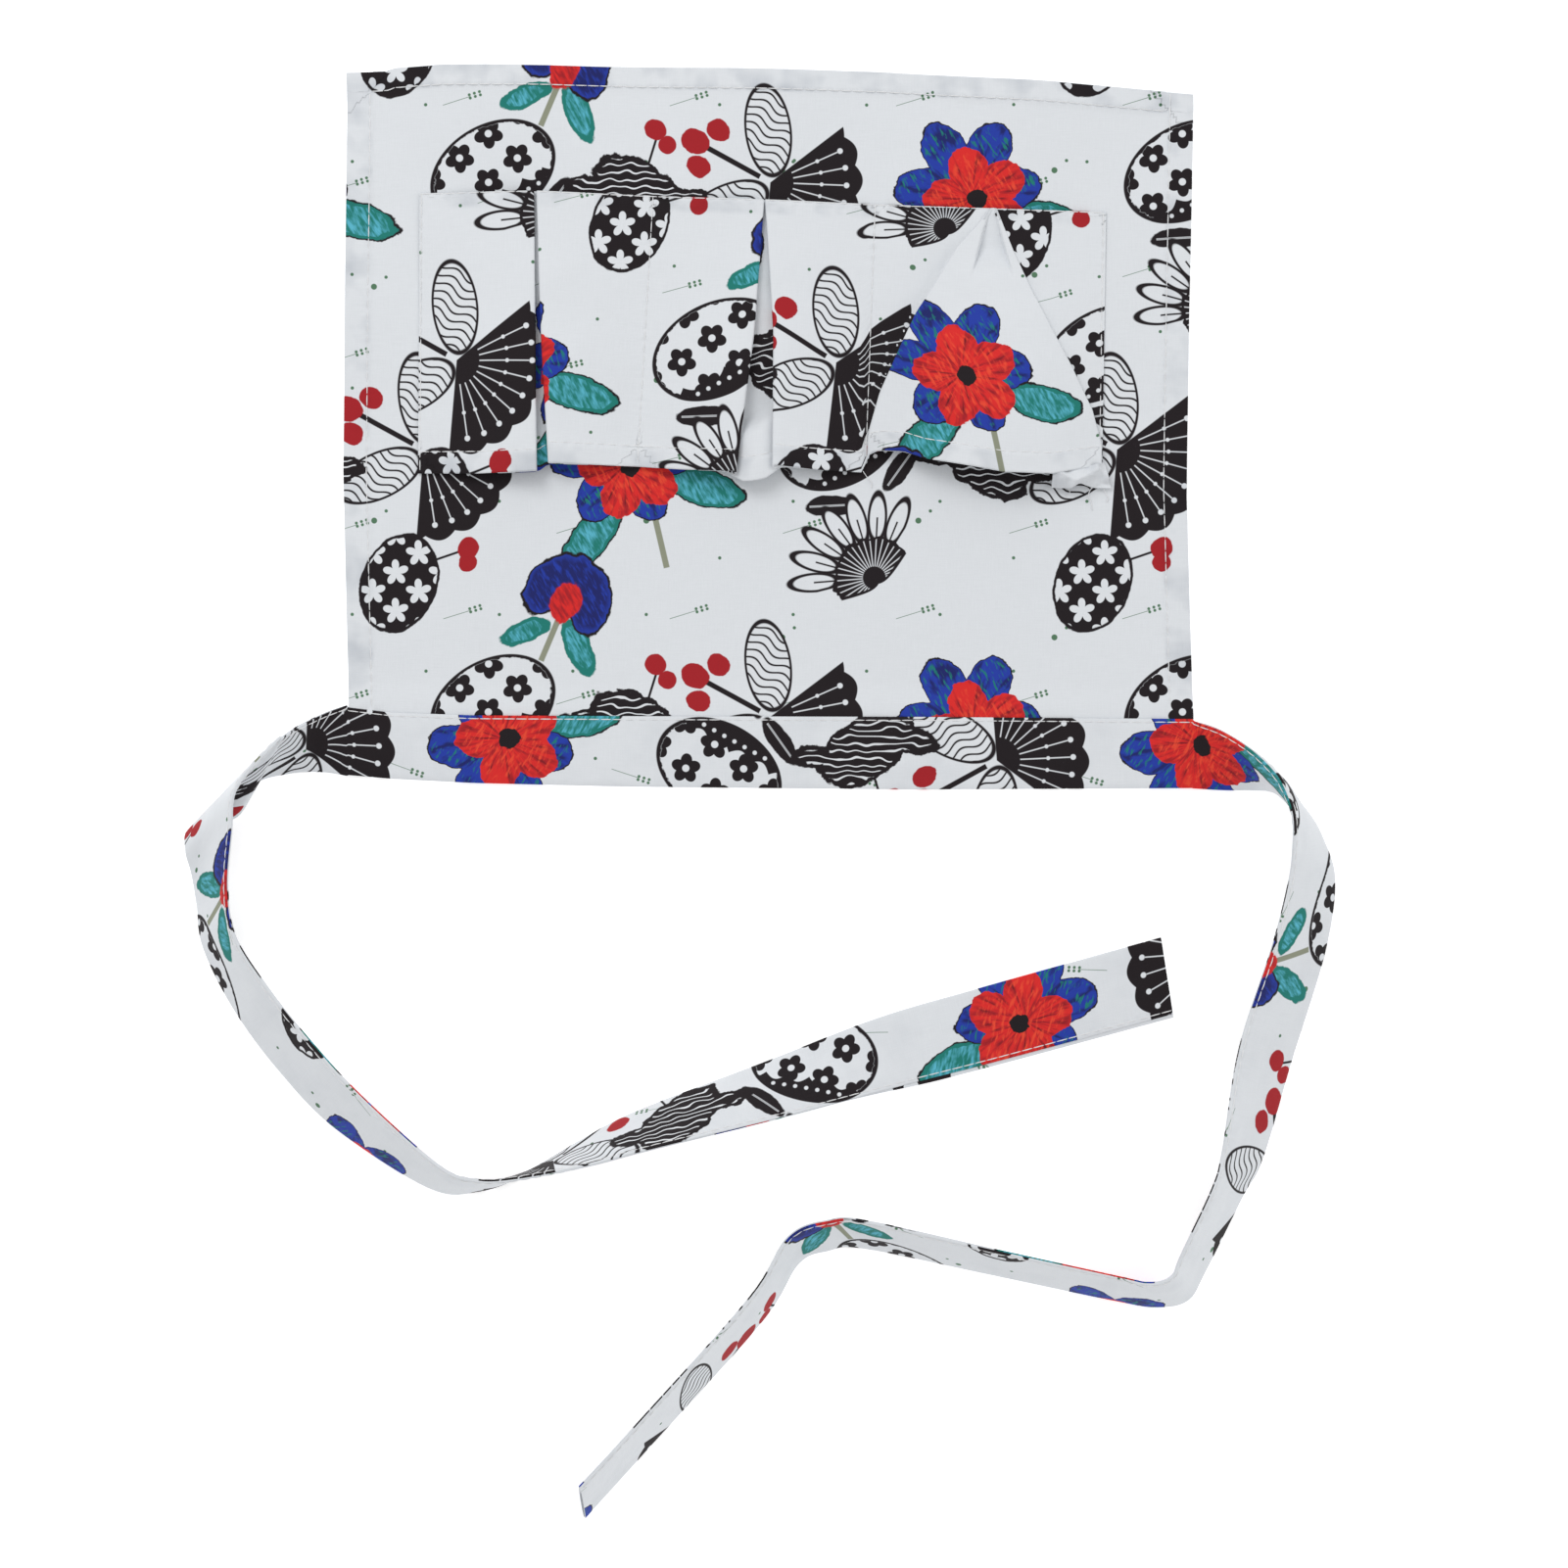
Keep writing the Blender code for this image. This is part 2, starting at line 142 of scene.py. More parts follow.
BAND_SECTIONS = [
    # along, seam, fold
    (0.00, 0.13, -0.80),
    (0.05, 0.06, -0.85),
    (0.15, 0.02, -0.91),
    (0.33, 0.01, -0.96),
    (0.67, 0.00, -1.00),
    (1.00, -0.03, -0.98),
]
LEFT_ROUTE = [
    # out, down, lift, right, up, rise
    (0.00, 0.124, 0.00, 0.00, 0.94, 0.03),
    (0.17, 0.116, 0.00, 0.10, 0.78, 0.25),
    (0.36, 0.119, 0.00, 0.18, 0.62, 0.52),
    (0.58, 0.141, 0.00, 0.41, 0.58, 0.62),
    (0.70, 0.212, 0.00, 0.68, 1.03, 0.66),
    (0.98, 0.238, 0.06, 1.24, 1.18, 0.66),
    (1.00, 0.282, 0.18, 0.78, 0.86, 0.68),
    (0.97, 0.333, 0.06, 0.64, 0.58, 0.82),
    (0.94, 0.400, 0.00, 0.52, 0.26, 0.86),
    (0.90, 0.490, 0.00, 0.54, 0.18, 0.84),
    (0.70, 0.624, 0.00, 0.54, 0.35, 0.80),
    (0.41, 0.755, 0.00, 0.48, 0.48, 0.80),
    (0.07, 0.871, 0.00, 0.43, 0.49, 0.84),
    (-0.10, 0.996, 0.00, 0.21, 0.38, 0.92),
    (-0.16, 1.004, 0.00, 0.05, 0.24, 0.97),
    (-0.22, 0.967, 0.00, -0.07, 0.02, 0.98),
    (-0.29, 0.896, 0.00, 0.10, -0.26, 0.94),
    (-0.36, 0.834, 0.00, 0.15, -0.45, 0.86),
    (-0.52, 0.728, 0.00, 0.21, -0.70, 0.60),
    (-0.65, 0.640, 0.00, 0.23, -0.91, 0.20),
    (-0.78, 0.574, 0.00, 0.22, -0.98, 0.00),
    (-1.00, 0.468, 0.00, 0.16, -1.02, 0.00),
]
RIGHT_ROUTE = [
    # out, down, lift, right, up, rise
    (0.00, 0.089, 0.00, 0.00, 0.90, 0.03),
    (0.22, 0.091, 0.00, -0.09, 0.79, 0.38),
    (0.42, 0.091, 0.00, -0.10, 0.53, 0.70),
    (0.56, 0.092, 0.00, -0.09, 0.25, 0.92),
    (0.67, 0.099, 0.00, -0.16, 0.08, 0.97),
    (0.81, 0.120, 0.00, -0.32, -0.02, 0.94),
    (0.92, 0.154, 0.00, -0.51, -0.03, 0.86),
    (1.00, 0.205, 0.00, -0.70, 0.03, 0.72),
    (0.93, 0.294, 0.00, -0.77, 0.14, 0.64),
    (0.69, 0.431, 0.00, -0.76, 0.23, 0.62),
    (0.49, 0.550, 0.00, -0.62, 0.15, 0.76),
    (0.34, 0.600, 0.00, -0.48, 0.20, 0.85),
    (0.08, 0.692, 0.00, -0.40, 0.32, 0.86),
    (-0.01, 0.728, 0.00, -0.30, 0.42, 0.86),
    (-0.06, 0.736, 0.00, -0.18, 0.42, 0.89),
    (-0.13, 0.728, 0.00, -0.05, 0.42, 0.90),
    (-0.33, 0.696, 0.00, 0.02, 0.42, 0.90),
    (-0.54, 0.663, 0.00, 0.01, 0.45, 0.89),
    (-0.60, 0.666, 0.00, 0.00, 0.49, 0.87),
    (-0.65, 0.683, 0.00, -0.12, 0.46, 0.88),
    (-0.71, 0.755, 0.00, -0.14, 0.43, 0.89),
    (-0.90, 0.916, 0.00, -0.10, 0.46, 0.88),
    (-1.00, 1.000, 0.00, -0.02, 0.56, 0.86),
]

# Outlines in photo pixels: the panel's sides as (py, px), the other lines as (px, py)
PANEL_LEFT = [(75, 355), (110, 356), (480, 352), (725, 358), (800, 358)]
PANEL_RIGHT = [(90, 1217), (300, 1213), (500, 1210), (735, 1217), (800, 1217)]
PANEL_HEM = [
    (355, 75), (396, 74), (403, 71), (451, 68), (560, 68), (730, 71), (900, 75), (1060, 84), (1217, 97),
]
POCKET_SEWN = [(429, 199), (545, 197), (655, 201), (780, 206), (893, 210), (1012, 215), (1129, 218)]
POCKET_MOUTH = [
    (429, 483), (490, 484), (550, 482), (561, 474), (610, 475), (651, 476), (700, 480), (752, 482),
    (793, 476), (833, 480), (880, 482), (888, 462), (900, 460), (922, 462), (944, 470), (978, 476),
    (1022, 484), (1072, 485), (1128, 474),
]
POCKET_SEAMS = [
    # at the sewn edge, at the mouth
    (429.0, 427.5),
    (667.0, 651.0),
    (893.5, 884.0),
    (1129.0, 1125.0),
]

# How far the seams' stitches stand beside the seams, in metres
SEAM_SHIFTS = (0.0008, 0, 0, -0.0012)

# Folds of the laid pleats: left and right, each as (share of the depth, px)
PLEAT_EDGES = [
    (((0, 545.5), (0.5, 547.5), (1, 549.5)), ((0, 548.6), (0.5, 553.5), (1, 561.5))),
    (((0, 780.0), (0.5, 770.0), (1, 752.0)), ((0, 781.5), (0.5, 790.0), (1, 789.0))),
]

# Edges of the popped pleat and of the recess at its apex, as (share of the depth, px)
POPPED_LEFT = [
    (0.0, 1010), (0.06, 999), (0.15, 978), (0.26, 961), (0.43, 935), (0.77, 898), (0.93, 886), (1.0, 884),
]
POPPED_RIGHT = [
    (0.0, 1017), (0.17, 1035), (0.32, 1054), (0.59, 1091), (0.78, 1114), (0.94, 1125), (1.0, 1126),
]
RECESS_LEFT = [(0.0, 1010), (0.26, 991), (1.0, 991)]
RECESS_RIGHT = [(0.0, 1015), (0.26, 1034), (1.0, 1034)]

CRUMPLE = [
    # share of the way, px, py, half width in pixels, height over the floor
    (0.00, 1130, 486, 13.0, 0.0040),
    (0.20, 1119, 487, 12.0, 0.0064),
    (0.45, 1104, 486, 8.0, 0.0084),
    (0.70, 1090, 489, 10.5, 0.0092),
    (1.00, 1073, 490, 8.5, 0.0088),
]
LOOSE_THREADS = [
    # points in photo pixels and heights in millimetres
    [(1121, 484, 4.6), (1117, 494, 3.4), (1111, 505, 1.8), (1114, 514, 1.5), (1115, 521, 1.5)],
    [(1119, 487, 4.2), (1124, 495, 3.0), (1128, 503, 1.8), (1131, 508, 1.6), (1130, 513, 1.5)],
    [(1094, 489, 4.0), (1090, 497, 2.4), (1092, 503, 1.6), (1088, 507, 1.5)],
    [(881, 482, 4.4), (886, 489, 2.6), (890, 493, 1.7), (889, 498, 1.5)],
]


def photo_point(px, py):
    return (px - PHOTO_MIDDLE) * PIXEL, (PHOTO_SEAM - py) * PIXEL


def metres(px):
    return (px - PHOTO_MIDDLE) * PIXEL


def photo_line(pairs, value):
    """Read a line of (px, py) pairs, in metres, at an x in metres."""
    xs, ys = zip(*[photo_point(*pair) for pair in pairs])
    return np.interp(value, xs, ys)


def steps_between(*runs):
    """Even steps in runs of (from, to, count), closer together where a shape needs it."""
    return np.concatenate([np.linspace(*run_of_steps) for run_of_steps in runs])


def smooth(share):
    share = np.clip(share, 0.0, 1.0)
    return share * share * (3 - 2 * share)


def column(table, place, index):
    return np.interp(place, [row[0] for row in table], [row[index] for row in table])


def stacked(*parts):
    """Put numbers or arrays beside one another in a last dimension."""
    return np.stack(np.broadcast_arrays(*parts), axis=-1)


def unit(vectors):
    return vectors / np.maximum(np.linalg.norm(vectors, axis=-1, keepdims=True), 1e-12)


def walked_along(points):
    return np.concatenate([[0], np.cumsum(np.linalg.norm(np.diff(points, axis=0), axis=1))])


def normals_of(grid):
    return unit(np.cross(np.gradient(grid, axis=1), np.gradient(grid, axis=0)))


def ripples(x, y, size, seed, count=7):
    """A smooth random field of about -1 to 1, made of sine waves of about one size."""
    rng = random.Random(seed)
    total = np.zeros(np.broadcast(x, y).shape)
    for _ in range(count):
        angle = rng.uniform(0, math.pi)
        wave = 2 * math.pi / (size * rng.uniform(0.7, 1.5))
        phase = rng.uniform(0, 6.3)
        total = total + np.sin((x * math.cos(angle) + y * math.sin(angle)) * wave + phase)
    return total / math.sqrt(count * 2)


# Cloth meshes
# A sheet is a grid of points with its flat coordinates beside it. It becomes a thin closed
# shell, whose printed side faces along the normals and whose plain side faces away.

def fold_under(grid, flat, depth, gap, outward):
    """Turn a sheet under itself at its last columns. outward is the normals' sign."""
    normals = normals_of(grid) * outward
    edge, edge_flat = grid[:, -1], flat[:, -1]
    out = unit(grid[:, -1] - grid[:, -2])
    flat_out = unit(flat[:, -1] - flat[:, -2])
    radius = gap / 2
    columns, flats = [], []
    for k in range(1, 6):
        angle = math.pi * k / 6
        drop = normals[:, -1] * radius * (1 - math.cos(angle))
        columns.append(edge + out * radius * math.sin(angle) - drop)
        flats.append(edge_flat + flat_out * radius * angle)
    walked = 0.0
    k = 1
    while walked < depth and k < grid.shape[1]:
        columns.append(grid[:, -k] - normals[:, -k] * gap)
        flats.append(edge_flat + flat_out * (math.pi * radius + walked))
        walked += float(np.median(np.linalg.norm(grid[:, -k] - grid[:, -k - 1], axis=-1)))
        k += 1
    turned, turned_flat = np.stack(columns, axis=1), np.stack(flats, axis=1)
    return np.concatenate([grid, turned], axis=1), np.concatenate([flat, turned_flat], axis=1)


def shell(grid):
    """Points and quads of a thin closed shell around a grid."""
    rows, cols = grid.shape[:2]
    offset = normals_of(grid) * THICK / 2
    points = np.concatenate([(grid + offset).reshape(-1, 3), (grid - offset).reshape(-1, 3)])
    index = np.arange(rows * cols).reshape(rows, cols)
    corners = [index[:-1, :-1], index[:-1, 1:], index[1:, 1:], index[1:, :-1]]
    top = stacked(*corners).reshape(-1, 4)
    bottom = top[:, ::-1] + rows * cols
    loop = np.concatenate([index[0, :], index[1:, -1], index[-1, -2::-1], index[-2:0:-1, 0]])
    after = np.roll(loop, -1)
    rim = stacked(after, loop, loop + rows * cols, after + rows * cols)
    kinds = np.concatenate([np.zeros(len(top), int), np.ones(len(bottom) + len(rim), int)])
    return points, np.concatenate([top, bottom, rim]), kinds


def link_piece(name, data):
    piece = bpy.data.objects.new(name, data)
    bpy.context.scene.collection.objects.link(piece)
    return piece


def cloth_piece(name, sheets, materials):
    """Join sheets into one piece. Each sheet is (grid, flat, marks), where marks holds the
    distance from a row of stitches, the way along it, and how many layers lie together.
    A fourth value, if true, leaves the sheet unprinted on both sides."""
    made = []
    start = 0
    for grid, flat, marks, *bare in sheets:
        points, quads, kinds = shell(grid)
        if bare:
            kinds = np.ones_like(kinds)
        both_sides = [np.tile(part.reshape(-1, part.shape[-1]), (2, 1)) for part in (flat, marks)]
        made.append((points, quads + start, kinds, *both_sides))
        start += len(points)
    points, quads, kinds, flat, marks = (np.concatenate(group) for group in zip(*made))
    data = bpy.data.meshes.new(name)
    data.from_pydata((points + OFFSET).tolist(), [], quads.tolist())
    for material in materials:
        data.materials.append(material)
    data.polygons.foreach_set("material_index", kinds)
    layer = data.uv_layers.new(name="cut")
    layer.uv.foreach_set("vector", flat[quads.reshape(-1)].astype(np.float32).reshape(-1))
    attribute = data.attributes.new("marks", "FLOAT_VECTOR", "POINT")
    attribute.data.foreach_set("vector", marks.astype(np.float32).reshape(-1))
    data.validate()
    data.shade_smooth()
    data.set_sharp_from_angle(angle=math.radians(62))
    return link_piece(name, data)


# Thread

def ring(centre, side, above, radius):
    """Six points around a thread."""
    return [
        centre + side * radius * math.cos(a) + above * radius * math.sin(a)
        for a in (k * math.pi / 3 for k in range(6))
    ]


def read_along(lengths, points, place):
    return np.array([np.interp(place, lengths, points[:, k]) for k in range(3)])


def stitches_along(points, normals):
    """Short raised stitches along a line of points, as tubes of six sides."""
    points = np.asarray(points, float)
    normals = unit(np.asarray(normals, float))
    lengths = walked_along(points)
    made = []
    for i in range(int(lengths[-1] / STITCH_PITCH)):
        begin = (i + STITCH_ENDS[0]) * STITCH_PITCH
        end = (i + STITCH_ENDS[1]) * STITCH_PITCH
        rings = []
        for share in (0.0, 0.12, 0.35, 0.65, 0.88, 1.0):
            place = begin + (end - begin) * share
            normal = unit(read_along(lengths, normals, place))
            ahead = read_along(lengths, points, place + 0.0005)
            along = unit(ahead - read_along(lengths, points, place - 0.0005))
            arch = math.sin(math.pi * share)
            centre = read_along(lengths, points, place) + normal * (STITCH_ARCH * arch - STITCH_SINK)
            rings.append(ring(centre, np.cross(normal, along), normal, STITCH_RADIUS * (0.6 + 0.4 * arch)))
        made.append(rings)
    return made


def thread_piece(name, groups, material):
    """One piece of all the threads. Each is a list of rings of six points."""
    points, faces = [], []
    for rings in groups:
        start = len(points)
        last = start + (len(rings) - 1) * 6
        for around in rings:
            points.extend(around)
        for first in range(start, last, 6):
            for k in range(6):
                a, b = first + k, first + (k + 1) % 6
                faces.append((a, b, b + 6, a + 6))
        faces.append(tuple(start + k for k in range(5, -1, -1)))
        faces.append(tuple(last + k for k in range(6)))
    data = bpy.data.meshes.new(name)
    data.from_pydata([tuple(np.asarray(p) + OFFSET) for p in points], [], faces)
    data.materials.append(material)
    data.shade_smooth()
    return link_piece(name, data)


# Print and cloth materials
# The print is a generic design of flowers, leaves and spotted eggs. Its lengths are
# millimetres on the flat cloth, and a motif's are counted before the motif is enlarged.

WHITE = (0.73, 0.755, 0.785)
BLACK = (0.011, 0.007, 0.009)
BLUE = (0.016, 0.043, 0.36)
DARK_BLUE = (0.010, 0.016, 0.13)
RED = (0.70, 0.022, 0.02)
DEEP_RED = (0.12, 0.006, 0.010)
ORANGE = (0.80, 0.065, 0.03)
DARK_RED = (0.37, 0.012, 0.018)
TEAL = (0.012, 0.19, 0.16)
CYAN = (0.10, 0.45, 0.58)
OLIVE = (0.27, 0.285, 0.21)
SPRIG = (0.09, 0.19, 0.11)
SHOW_THROUGH = (0.75, 0.765, 0.79)
THREAD_GREY, THREAD_WHITE = (0.70, 0.71, 0.73), (0.88, 0.88, 0.88)

# The repeat's size, then each motif's place in it as shares, its turn and its size
REPEAT_WIDE, REPEAT_HIGH = 288.0, 222.0
PALMETTE = (0.0, 0.0, -0.5, 1.22)
BLOOM = (0.29, -0.03, 0.35, 1.12)
LARGE_EGG = (0.60, 0.02, 0.5, 1.26)
CURLED_LEAF = (0.81, -0.02, -0.6, 1.28)
PETAL_SPRAY = (0.15, 0.26, 2.2, 1.2)
DARK_EGG = (0.465, 0.25, 0.9, 1.22)
TULIP = (0.71, 0.23, -0.4, 1.34)

# Fine plain weave: noise across and along its threads, and waves a millimetre
ACROSS_THREADS, ALONG_THREADS = 3.2, 0.12
WEAVE = 9.0
RELIEF = 0.001


class Field:
    """A number or vector that varies over the cloth, as an output of a shader node."""

    tree = None

    def __init__(self, socket):
        self.socket = socket

    def __add__(self, other):
        return number("ADD", self, other)

    def __sub__(self, other):
        return number("SUBTRACT", self, other)

    def __rsub__(self, other):
        return number("SUBTRACT", other, self)

    def __mul__(self, other):
        return number("MULTIPLY", self, other)

    def __truediv__(self, other):
        return number("DIVIDE", self, other)

    def __neg__(self):
        return number("MULTIPLY", self, -1.0)

    __radd__ = __add__
    __rmul__ = __mul__


def wire(socket, value):
    if isinstance(value, Field):
        Field.tree.links.new(value.socket, socket)
    else:
        socket.default_value = value


def new_node(kind, inputs, **settings):
    """Add a shader node with its settings, and wire or set its named or numbered inputs."""
    node = Field.tree.nodes.new("ShaderNode" + kind)
    for key, value in settings.items():
        setattr(node, key, value)
    for key, value in inputs.items():
        wire(node.inputs[key], value)
    return node


def new_material(name):
    """A material whose shader and tree the following fields go into."""
    material = bpy.data.materials.new(name)
    material.use_nodes = True
    Field.tree = material.node_tree
    return material, Field.tree.nodes["Principled BSDF"]


def number(operation, *values, clamp=False):
    return Field(new_node("Math", dict(enumerate(values)), operation=operation, use_clamp=clamp).outputs[0])


def vector(operation, *values):
    node = new_node("VectorMath", dict(enumerate(values)), operation=operation)
    return Field(node.outputs["Value" if operation in ("LENGTH", "DOT_PRODUCT") else "Vector"])


def combine(x, y):
    return Field(new_node("CombineXYZ", {0: x, 1: y}).outputs[0])


def split(place):
    node = new_node("SeparateXYZ", {0: place})
    return Field(node.outputs[0]), Field(node.outputs[1])


def local(place, x, y, turn=0.0, wide=1.0, high=1.0):
    """Coordinates around a point, turned and divided by a size."""
    inputs = {"Vector": place, "Location": (x, y, 0), "Rotation": (0, 0, turn), "Scale": (wide, high, 1)}
    return Field(new_node("Mapping", inputs, vector_type="TEXTURE").outputs[0])


def least(first, *others):
    for other in others:
        first = number("MINIMUM", first, other)
    return first


def most(a, b):
    return number("MAXIMUM", a, b)


def size_of(value):
    return number("ABSOLUTE", value)


def length(place):
    return vector("LENGTH", place)


def from_lines(value, half):
    """Distance from the nearest of the lines that lie twice a half apart."""
    return size_of(number("WRAP", value, half, -half))


def ellipse(place, x, y, wide, high, turn=0.0):
    """Distance from an ellipse's edge in millimetres, below zero inside."""
    small = min(wide, high)
    return number("MULTIPLY_ADD", length(local(place, x, y, turn, wide, high)), small, -small)


def ellipses(place, *sizes):
    """Distance from the nearest of some ellipses, each x, y, wide, high and perhaps turn."""
    return least(*[ellipse(place, *size) for size in sizes])


def outline(shape, half):
    """Distance from a line along the inside of a shape's edge."""
    return most(size_of(shape) - half, -0.2 - shape)


def bar(place, x, y, wide, high, turn=0.0):
    """Distance from a thin straight bar with half sizes wide and high."""
    across, along = split(local(place, x, y, turn))
    return most(size_of(across) - wide, size_of(along) - high)


def lattice(place, x, y, wide, high):
    """Coordinates around the nearest point of a staggered lattice."""
    moved = vector("SUBTRACT", place, (x, y, 0.0))
    a, b = (
        number("WRAP", vector("DOT_PRODUCT", moved, (1 / wide, slope / high, 0.0)), 0.5, -0.5)
        for slope in (1, -1)
    )
    return combine((a + b) * (wide / 2), (a - b) * (high / 2))


def motif(place, shares):
    """Coordinates around a motif, which repeats on the print's staggered lattice."""
    x, y, turn, size = shares
    cell = lattice(place, x * REPEAT_WIDE, y * REPEAT_HIGH, REPEAT_WIDE, REPEAT_HIGH)
    return local(cell, 0, 0, turn, size, size)


def polar(place):
    """Distance from the middle and angle around it."""
    x, y = split(place)
    return length(place), number("ARCTAN2", y, x)


def flower(place, radius, petals=5, depth=0.34):
    """Distance from a flower's outline around the middle."""
    reach, angle = polar(place)
    petal = size_of(number("SINE", angle * (petals / 2)))
    return reach - number("MULTIPLY_ADD", petal, radius * depth, radius * (1 - depth))


def mixed(factor, first, second, blend="MIX"):
    """Mix two colours, each a field or three numbers."""
    node = new_node("Mix", {0: factor}, data_type="RGBA", blend_type=blend)
    for socket, value in ((node.inputs[6], first), (node.inputs[7], second)):
        wire(socket, value if isinstance(value, Field) else (*value, 1.0))
    return Field(node.outputs[2])


def paint(colour, distance, new, soft=0.13):
    """Lay a colour over another wherever a distance is below zero."""
    return mixed(number("MULTIPLY_ADD", distance, -0.5 / soft, 0.5, clamp=True), colour, new)


def noise(place, scale, detail=2.0, roughness=0.55):
    inputs = {"Vector": place, "Scale": scale, "Detail": detail, "Roughness": roughness}
    return Field(new_node("TexNoise", inputs).outputs["Fac"])


def curls(place, scale, distortion):
    """Thin curling lines, high on a line."""
    inputs = {"Vector": place, "Scale": scale, "Distortion": distortion, "Detail": 0.0, "Detail Scale": 1.4}
    return Field(new_node("TexWave", inputs, wave_type="RINGS").outputs["Fac"])


# Motifs
# Each gives its layers from the lowest up, as (distance, colour) or (distance, colour, soft).

def sprigs(place):
    """Fine green sprigs and dots between the motifs."""
    stem = lattice(place, 11.0, 7.0, 94.0, 71.0)
    bx, by = split(local(stem, 7.5, 2.4, 0.3))
    bead = combine(number("WRAP", bx, 1.1, -1.1), size_of(by) - 0.7)
    dots = lattice(place, 40.0, 19.0, 61.0, 47.0)
    pairs = lattice(place, 5.0, 33.0, 113.0, 97.0)
    return [
        (bar(stem, 0, 0, 6.0, 0.12, 0.3), SPRIG),
        (most(length(bead) - 0.62, size_of(bx) - 3.2), SPRIG),
        (length(dots) - 0.7, SPRIG),
        (least(length(pairs) - 1.25, ellipse(pairs, 5, 4, 0.7, 0.7)), SPRIG),
    ]


def palmette(place, edge):
    """A black fan on a stem, with dotted rays, two leaves of wavy lines and dark buds."""
    cell = motif(place, PALMETTE)
    x, y = split(cell)
    reach, angle = polar(cell)
    waves = from_lines(y + number("SINE", x * 0.55) * 1.0, 1.4) - 0.34
    layers = []
    for side in (1, -1):
        leaf = ellipse(cell, -9, side * 15, 16, 8.0, side * 2.2)
        layers += [(leaf, BLACK), (most(leaf + 0.8, -waves), WHITE)]
    scallop = number("MULTIPLY_ADD", size_of(number("SINE", angle * 9.0)), 2.0, 29.5)
    wedge = (size_of(angle) - 1.15) * reach
    ray = from_lines(angle, 0.115) * reach
    line = most(ray - 0.2, most(reach - 25.0, 8.0 - reach))
    knob = least(length(combine(ray, reach - 26.0)) - 0.95, length(combine(ray, reach - 17.5)) - 0.65)
    buds = least(ellipse(cell, -29, 0, 5, 4.2), ellipses(cell, (-24, 7, 4.2, 3.6), (-24, -7, 4.2, 3.6)))
    return layers + [
        (bar(cell, -16, 0, 12.0, 0.9), BLACK),
        (most(reach - scallop, wedge), BLACK),
        (most(least(line, knob), wedge + 1.5), WHITE),
        (buds + edge * 0.35, DARK_RED),
    ]


def leafy(leaf, streak, margin):
    """A teal leaf with cyan streaks inside its margin."""
    return [(leaf, TEAL), (most(leaf + margin, 0.53 - streak), CYAN)]


def bloom(place, edge, streak):
    """A large red flower on blue petals, with teal leaves and an olive stem."""
    cell = motif(place, BLOOM)
    reach, angle = polar(cell)
    rays = noise(combine(angle * 7.0, reach * 0.1), 1.0)
    teal = ellipses(cell, (-21, -21, 17, 6.5, 0.55), (25, -18, 15, 6.5, -0.6)) + edge * 0.6
    blue = flower(local(cell, 0, 4, 0.2), 27.0, 6, 0.42) + edge * 0.9
    red = flower(local(cell, 2, -1, 0.9), 20.0, 5, 0.36) + edge * 1.1
    return [(bar(cell, 3, -30, 1.1, 11.0, -0.12), OLIVE)] + leafy(teal, streak, 1.3) + [
        (outline(teal, 0.35), BLACK),
        (blue, BLUE),
        (most(blue + 0.8, (rays - 0.45) * 9.0), DARK_BLUE, 0.6),
        (most(blue + 1.6, (0.60 - streak) * 9.0), TEAL, 0.5),
        (outline(blue, 0.45), BLACK),
        (red, RED),
        (most(red + 0.4, (rays - 0.47) * 9.0), DARK_RED, 0.7),
        (most(red + 3.0, (0.57 - streak) * 9.0), ORANGE, 0.7),
        (most(red + 2.0, (rays - 0.33) * 9.0), DEEP_RED, 0.5),
        (length(local(cell, 2, -1)) - 3.6 + edge, BLACK),
    ]


def large_egg(place, edge, rings):
    """A white egg with black flowers, half sunk in a dark scalloped cup with two leaves."""
    cell = motif(place, LARGE_EGG)
    x, y = split(cell)
    egg = ellipse(cell, 0, 0, 22, 15.5)
    rim = egg + 0.9 + size_of(edge) * 0.6
    cup = size_of(number("SINE", x * 0.42)) * 2.4 + y + 6.5
    beads = length(combine(number("WRAP", x, 1.9, -1.9), y + 10.6)) - 0.7
    layers = [
        (egg, BLACK),
        (rim, WHITE),
        (most(rings, rim), BLACK),
        (most(cup, egg), BLACK),
        (most(beads, egg + 1.2), WHITE),
    ]
    for side in (1, -1):
        leaf = ellipse(cell, side * 13, -18, 9, 3.4, side * 0.45) + edge * 0.3
        vein = size_of(bar(cell, side * 13, -18, 7.0, 0.18, side * 0.45)) - 0.1
        layers += [(leaf, BLACK), (most(vein, leaf), WHITE)]
    return layers


def curled_leaf(place, edge, curl):
    """A black leaf filled with white curls, with two dark red berries."""
    cell = motif(place, CURLED_LEAF)
    shape = ellipses(cell, (0, 0, 17, 10), (14, 6, 9, 4.5, 0.7), (-14, -7, 9, 3.6, 0.6)) + edge * 0.8
    berries = ellipses(cell, (-7, 20, 3.6, 3.3), (-1, 18, 3, 3))
    return [
        (shape, BLACK),
        (most(curl, shape + 1.3), WHITE),
        (bar(cell, -4, 14, 0.4, 5.0, 0.3), BLACK),
        (berries + edge * 0.25, DARK_RED),
    ]


